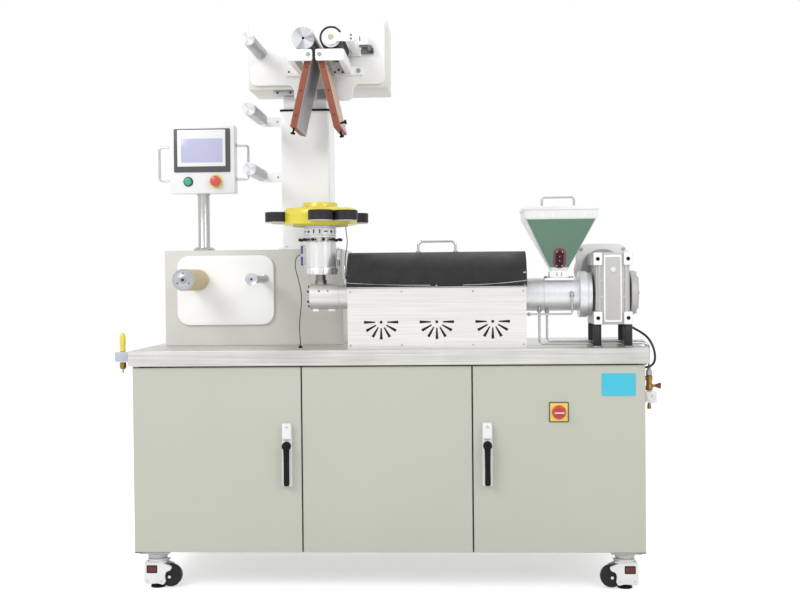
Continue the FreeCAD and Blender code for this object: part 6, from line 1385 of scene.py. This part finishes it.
def make_pipes():
    def run(points, radius, bends):
        return rod(bent(points, bends, 7), radius, 18)

    runs = [run([(519, 106, 952), (519, 106, 825), (889, 106, 825), (889, 106, 744.4)], 4, 16),
            run([(546, 122, 942), (546, 122, 833), (881, 122, 833), (881, 122, 750)], 4, 16),
            run([(628, 96, 997), (628, 80, 997), (628, 80, 927), (471.6, 80, 927)], 3.4, 7)]
    piece("Cooling_pipes", "Chrome", runs, "pipe_tube", "water_pipes")
    nuts = [hexagon((628, 84, 997), 15, 8, "y", 0.8), hexagon((519, 106, 934), 13, 9, "z", 0.8),
            hexagon((546, 122, 930), 13, 9, "z", 0.8), hexagon((628, 80, 984), 12, 8, "z", 0.6),
            hexagon((478, 80, 927), 12, 8, "x", 0.6)]
    piece("Pipe_nuts", "Zinc", nuts, "zinc")


def make_side_fittings():
    x, deep = 889.0, 106.0
    spot = (x, deep, 0)
    nut = hexagon((x, deep, 716), 18, 18, "z", 1.0)
    stem = turned(spot, [(6, 733), (6.4, 735), (6.4, 741), (5, 744)], "z", 24)
    chest = [turned(spot, [(7, 663), (12, 665), (12, 679), (10, 682), (10, 697), (12, 700), (12, 713),
                           (9, 716)],
                    "z", 32), turned((0, deep, 680), [(6, 897), (6, 903), (4, 904), (4, 908)], "x", 20),
             turned((0, deep, 706), [(7, 861), (7, 880)], "x", 20)]
    tail = turned(spot, [(5, 601), (7, 602.4), (7, 612), (5.6, 614), (5.6, 622)], "z", 24)
    piece("Valve_nut", "Zinc", [nut, stem], "zinc", "side_valve")
    piece("Valve_chest", "Brass", chest + [tail], "brass")
    block = slab((895, 87, 642), 38, 38, 30, 5, 2.4)
    face = turned((895, 0, 642), [(15, 87.4), (15, 85), (13.4, 84), (12.6, 84), (12.2, 85.4), (1, 85.4)],
                  "y", 40)
    pointer = slab((895, 84.8, 646), 1.4, 9, 0.5, 0.6, 0.1)
    piece("Regulator", "Machine white", [block, face], "machine_white")
    piece("Regulator_pointer", "Bolt black", [pointer], "dark_steel")
    wing = []
    for reach, half, thick in ((903, 4, 3), (910, 5, 3.4), (918, 8, 4), (926, 10.6, 3.6), (929, 9.4, 2.4)):
        flat = rounded_outline(thick, half * 2, min(thick, half) * 0.45, 4)
        wing.append(layer(flat + [deep, 680], reach, "x"))
    piece("Valve_wing", "Lever red", [np.array(wing)], "lever_red", "valve_lever", body="valve_wing")
    # the hand tool in its clip at the left
    spot = (-904, 43, 0)
    handle = turned(spot, [(7, 811.4), (9.6, 813), (10.2, 818), (8.4, 824), (9.4, 832), (10.5, 845),
                           (9.6, 862),
                           (6.6, 873), (3, 876)], "z", 36)
    clip = [slab((-900, 31, 794), 57, 33, 4, 3, 1.2), slab((-884, 33, 794), 22, 22, 20, 2, 1.2),
            turned(spot, [(10, 778), (11.6, 779), (11.6, 809), (10, 811)], "z", 36)]
    nut = [hexagon((-904, 43, 756), 20, 19, "z", 1.2),
           turned(spot, [(7, 752), (9, 754), (9, 757)], "z", 28)]
    tip = turned(spot, [(2, 738), (4, 739.6), (4, 755)], "z", 20)
    piece("Tool_handle", "Tool yellow", [handle], "tool_yellow", "hand_tool")
    piece("Tool_clip", "Lilac grey", clip, "zinc")
    piece("Tool_nut", "Brass", nut, "brass")
    piece("Tool_tip", "Chrome", [tip], "zinc")


class FilmLineColours(bpy.types.PropertyGroup):
    cabinet: FloatVectorProperty(name="Cabinet", description="Paint of the doors and the cabinet",
                                 subtype="COLOR", size=3, min=0, max=1, default=linear((190, 192, 180))[:3])
    ring: FloatVectorProperty(name="Air ring", description="Enamel of the air ring",
                              subtype="COLOR", size=3, min=0, max=1, default=linear((228, 213, 62))[:3])
    # painted reflection: this green stands in for the surroundings mirrored in the hopper's polished front
    hopper: FloatVectorProperty(name="Hopper", description="Enamel of the hopper's front",
                                subtype="COLOR", size=3, min=0, max=1, default=linear((84, 124, 99))[:3])
    board: FloatVectorProperty(name="Boards", description="Outer faces of the collapsing boards",
                               subtype="COLOR", size=3, min=0, max=1, default=linear((208, 186, 172))[:3])
    start: FloatVectorProperty(name="Start button", description="Plastic of the start button",
                               subtype="COLOR", size=3, min=0, max=1, default=linear((53, 171, 138))[:3])
    stop: FloatVectorProperty(name="Stop button", description="Plastic of the stop button",
                              subtype="COLOR", size=3, min=0, max=1, default=linear((217, 84, 76))[:3])
    plate: FloatVectorProperty(name="Door plate", description="Blank plate on the right door",
                               subtype="COLOR", size=3, min=0, max=1, default=linear((52, 190, 216))[:3])
    tool: FloatVectorProperty(name="Hand tool", description="Handle of the tool at the left",
                              subtype="COLOR", size=3, min=0, max=1, default=linear((226, 212, 80))[:3])


class FilmLineStage(bpy.types.PropertyGroup):
    key: FloatProperty(name="Key lamp", description="Power of the key lamp", unit="POWER", min=0,
                       default=125.0)
    fill: FloatProperty(name="Fill light", description="Strength of the even light from all sides", min=0,
                        default=0.72)
    floor_lift: FloatProperty(name="Floor glow", description="What the eye sees added to the floor's light",
                              min=0, default=0.5)


class FilmLineSizes(bpy.types.PropertyGroup):
    screw: FloatProperty(name="Screw", description="Head radius of the small screws", unit="NONE", min=1,
                         default=3.6)
    rounding: FloatProperty(name="Rounding", description="Radius along the sheet-metal edges in millimetres",
                            min=0.1, default=2.0)


class FilmLineSettings(bpy.types.PropertyGroup):
    colours: PointerProperty(type=FilmLineColours, name="Colours", description="Paint and plastic colours")
    stage: PointerProperty(type=FilmLineStage, name="Stage", description="Lamps and floor")
    sizes: PointerProperty(type=FilmLineSizes, name="Sizes", description="Sizes of repeated details")


class FILMLINE_OT_finishes(bpy.types.Operator):
    """Makes the finishes and puts them on the frame's parts"""
    bl_idname = "filmline.finishes"
    bl_label = "Finishes"

    def execute(self, context):
        make_finishes(context.scene.film_line.colours)
        dress_nodes()
        return {"FINISHED"}


class FILMLINE_OT_stage(bpy.types.Operator):
    """Sets the camera, the floor and the lamps"""
    bl_idname = "filmline.stage"
    bl_label = "Stage"

    def execute(self, context):
        make_camera()
        make_stage(context.scene.film_line.stage)
        return {"FINISHED"}


class FILMLINE_OT_cords(bpy.types.Operator):
    """Hangs the motor cable and the two thin leads"""
    bl_idname = "filmline.cords"
    bl_label = "Cords"

    def execute(self, context):
        make_cords()
        return {"FINISHED"}


class FILMLINE_OT_cabinet(bpy.types.Operator):
    """Builds the door skins, the worktop, the locks, the levers and the switch"""
    bl_idname = "filmline.cabinet"
    bl_label = "Cabinet"

    def execute(self, context):
        make_cabinet(context.scene.film_line.sizes)
        return {"FINISHED"}


class FILMLINE_OT_castors(bpy.types.Operator):
    """Builds the four levelling castors and their wheels"""
    bl_idname = "filmline.castors"
    bl_label = "Castors"

    def execute(self, context):
        make_castors()
        return {"FINISHED"}


class FILMLINE_OT_winder(bpy.types.Operator):
    """Builds the winder's case, plate, mandrel and guide roll"""
    bl_idname = "filmline.winder"
    bl_label = "Winder"

    def execute(self, context):
        make_winder()
        return {"FINISHED"}


class FILMLINE_OT_panel(bpy.types.Operator):
    """Builds the operator panel, its buttons, handles and post"""
    bl_idname = "filmline.panel"
    bl_label = "Operator panel"

    def execute(self, context):
        make_panel()
        return {"FINISHED"}


class FILMLINE_OT_tower(bpy.types.Operator):
    """Builds the mast, the head, its plate and the guide rollers"""
    bl_idname = "filmline.tower"
    bl_label = "Tower"

    def execute(self, context):
        make_tower()
        return {"FINISHED"}


class FILMLINE_OT_nip(bpy.types.Operator):
    """Builds the two nip rollers, the yoke, the bars and the rail"""
    bl_idname = "filmline.nip"
    bl_label = "Nip unit"

    def execute(self, context):
        make_nip()
        return {"FINISHED"}


class FILMLINE_OT_boards(bpy.types.Operator):
    """Builds the two boards with their faces, screws and knobs"""
    bl_idname = "filmline.boards"
    bl_label = "Collapsing boards"

    def execute(self, context):
        make_boards()
        return {"FINISHED"}


class FILMLINE_OT_film_head(bpy.types.Operator):
    """Builds the air ring, the blowers, the die and the adaptor"""
    bl_idname = "filmline.film_head"
    bl_label = "Film head"

    def execute(self, context):
        make_film_head()
        make_adaptor()
        return {"FINISHED"}


class FILMLINE_OT_guard(bpy.types.Operator):
    """Builds the guard's screws, the lid, its handle and hinges"""
    bl_idname = "filmline.guard"
    bl_label = "Barrel guard"

    def execute(self, context):
        make_guard(context.scene.film_line.sizes)
        return {"FINISHED"}


class FILMLINE_OT_hopper(bpy.types.Operator):
    """Builds the hopper, its window, foot and lid"""
    bl_idname = "filmline.hopper"
    bl_label = "Hopper"

    def execute(self, context):
        make_hopper()
        return {"FINISHED"}


class FILMLINE_OT_drive(bpy.types.Operator):
    """Builds the feed tube, the gearbox on its legs and the motor"""
    bl_idname = "filmline.drive"
    bl_label = "Drive"

    def execute(self, context):
        make_drive()
        return {"FINISHED"}


class FILMLINE_OT_fittings(bpy.types.Operator):
    """Builds the pipes, the side valve and the hand tool"""
    bl_idname = "filmline.fittings"
    bl_label = "Pipes and fittings"

    def execute(self, context):
        make_pipes()
        make_side_fittings()
        return {"FINISHED"}


STEPS = (FILMLINE_OT_finishes, FILMLINE_OT_stage, FILMLINE_OT_cords, FILMLINE_OT_cabinet,
         FILMLINE_OT_castors, FILMLINE_OT_winder, FILMLINE_OT_panel, FILMLINE_OT_tower,
         FILMLINE_OT_nip, FILMLINE_OT_boards, FILMLINE_OT_film_head,
         FILMLINE_OT_guard, FILMLINE_OT_hopper, FILMLINE_OT_drive, FILMLINE_OT_fittings)


class FILMLINE_PT_main(bpy.types.Panel):
    """Lists the steps and the settings of the film line"""
    bl_idname = "FILMLINE_PT_main"
    bl_label = "Film line"
    bl_space_type = "VIEW_3D"
    bl_region_type = "UI"
    bl_category = "Film Line"

    def draw(self, context):
        settings = context.scene.film_line
        for step in STEPS:
            self.layout.operator(step.bl_idname)
        for part in (settings.colours, settings.stage, settings.sizes):
            box = self.layout.box()
            for key in part.__annotations__:
                box.prop(part, key)


CLASSES = (FilmLineColours, FilmLineStage, FilmLineSizes, FilmLineSettings, *STEPS, FILMLINE_PT_main)


def register():
    for made in CLASSES:
        bpy.utils.register_class(made)
    bpy.types.Scene.film_line = PointerProperty(type=FilmLineSettings)


def unregister():
    del bpy.types.Scene.film_line
    for made in reversed(CLASSES):
        bpy.utils.unregister_class(made)


def main():
    register()
    for step in STEPS:
        group_name, call = step.bl_idname.split(".")
        getattr(getattr(bpy.ops, group_name), call)()


if __name__ == "__main__":
    main()
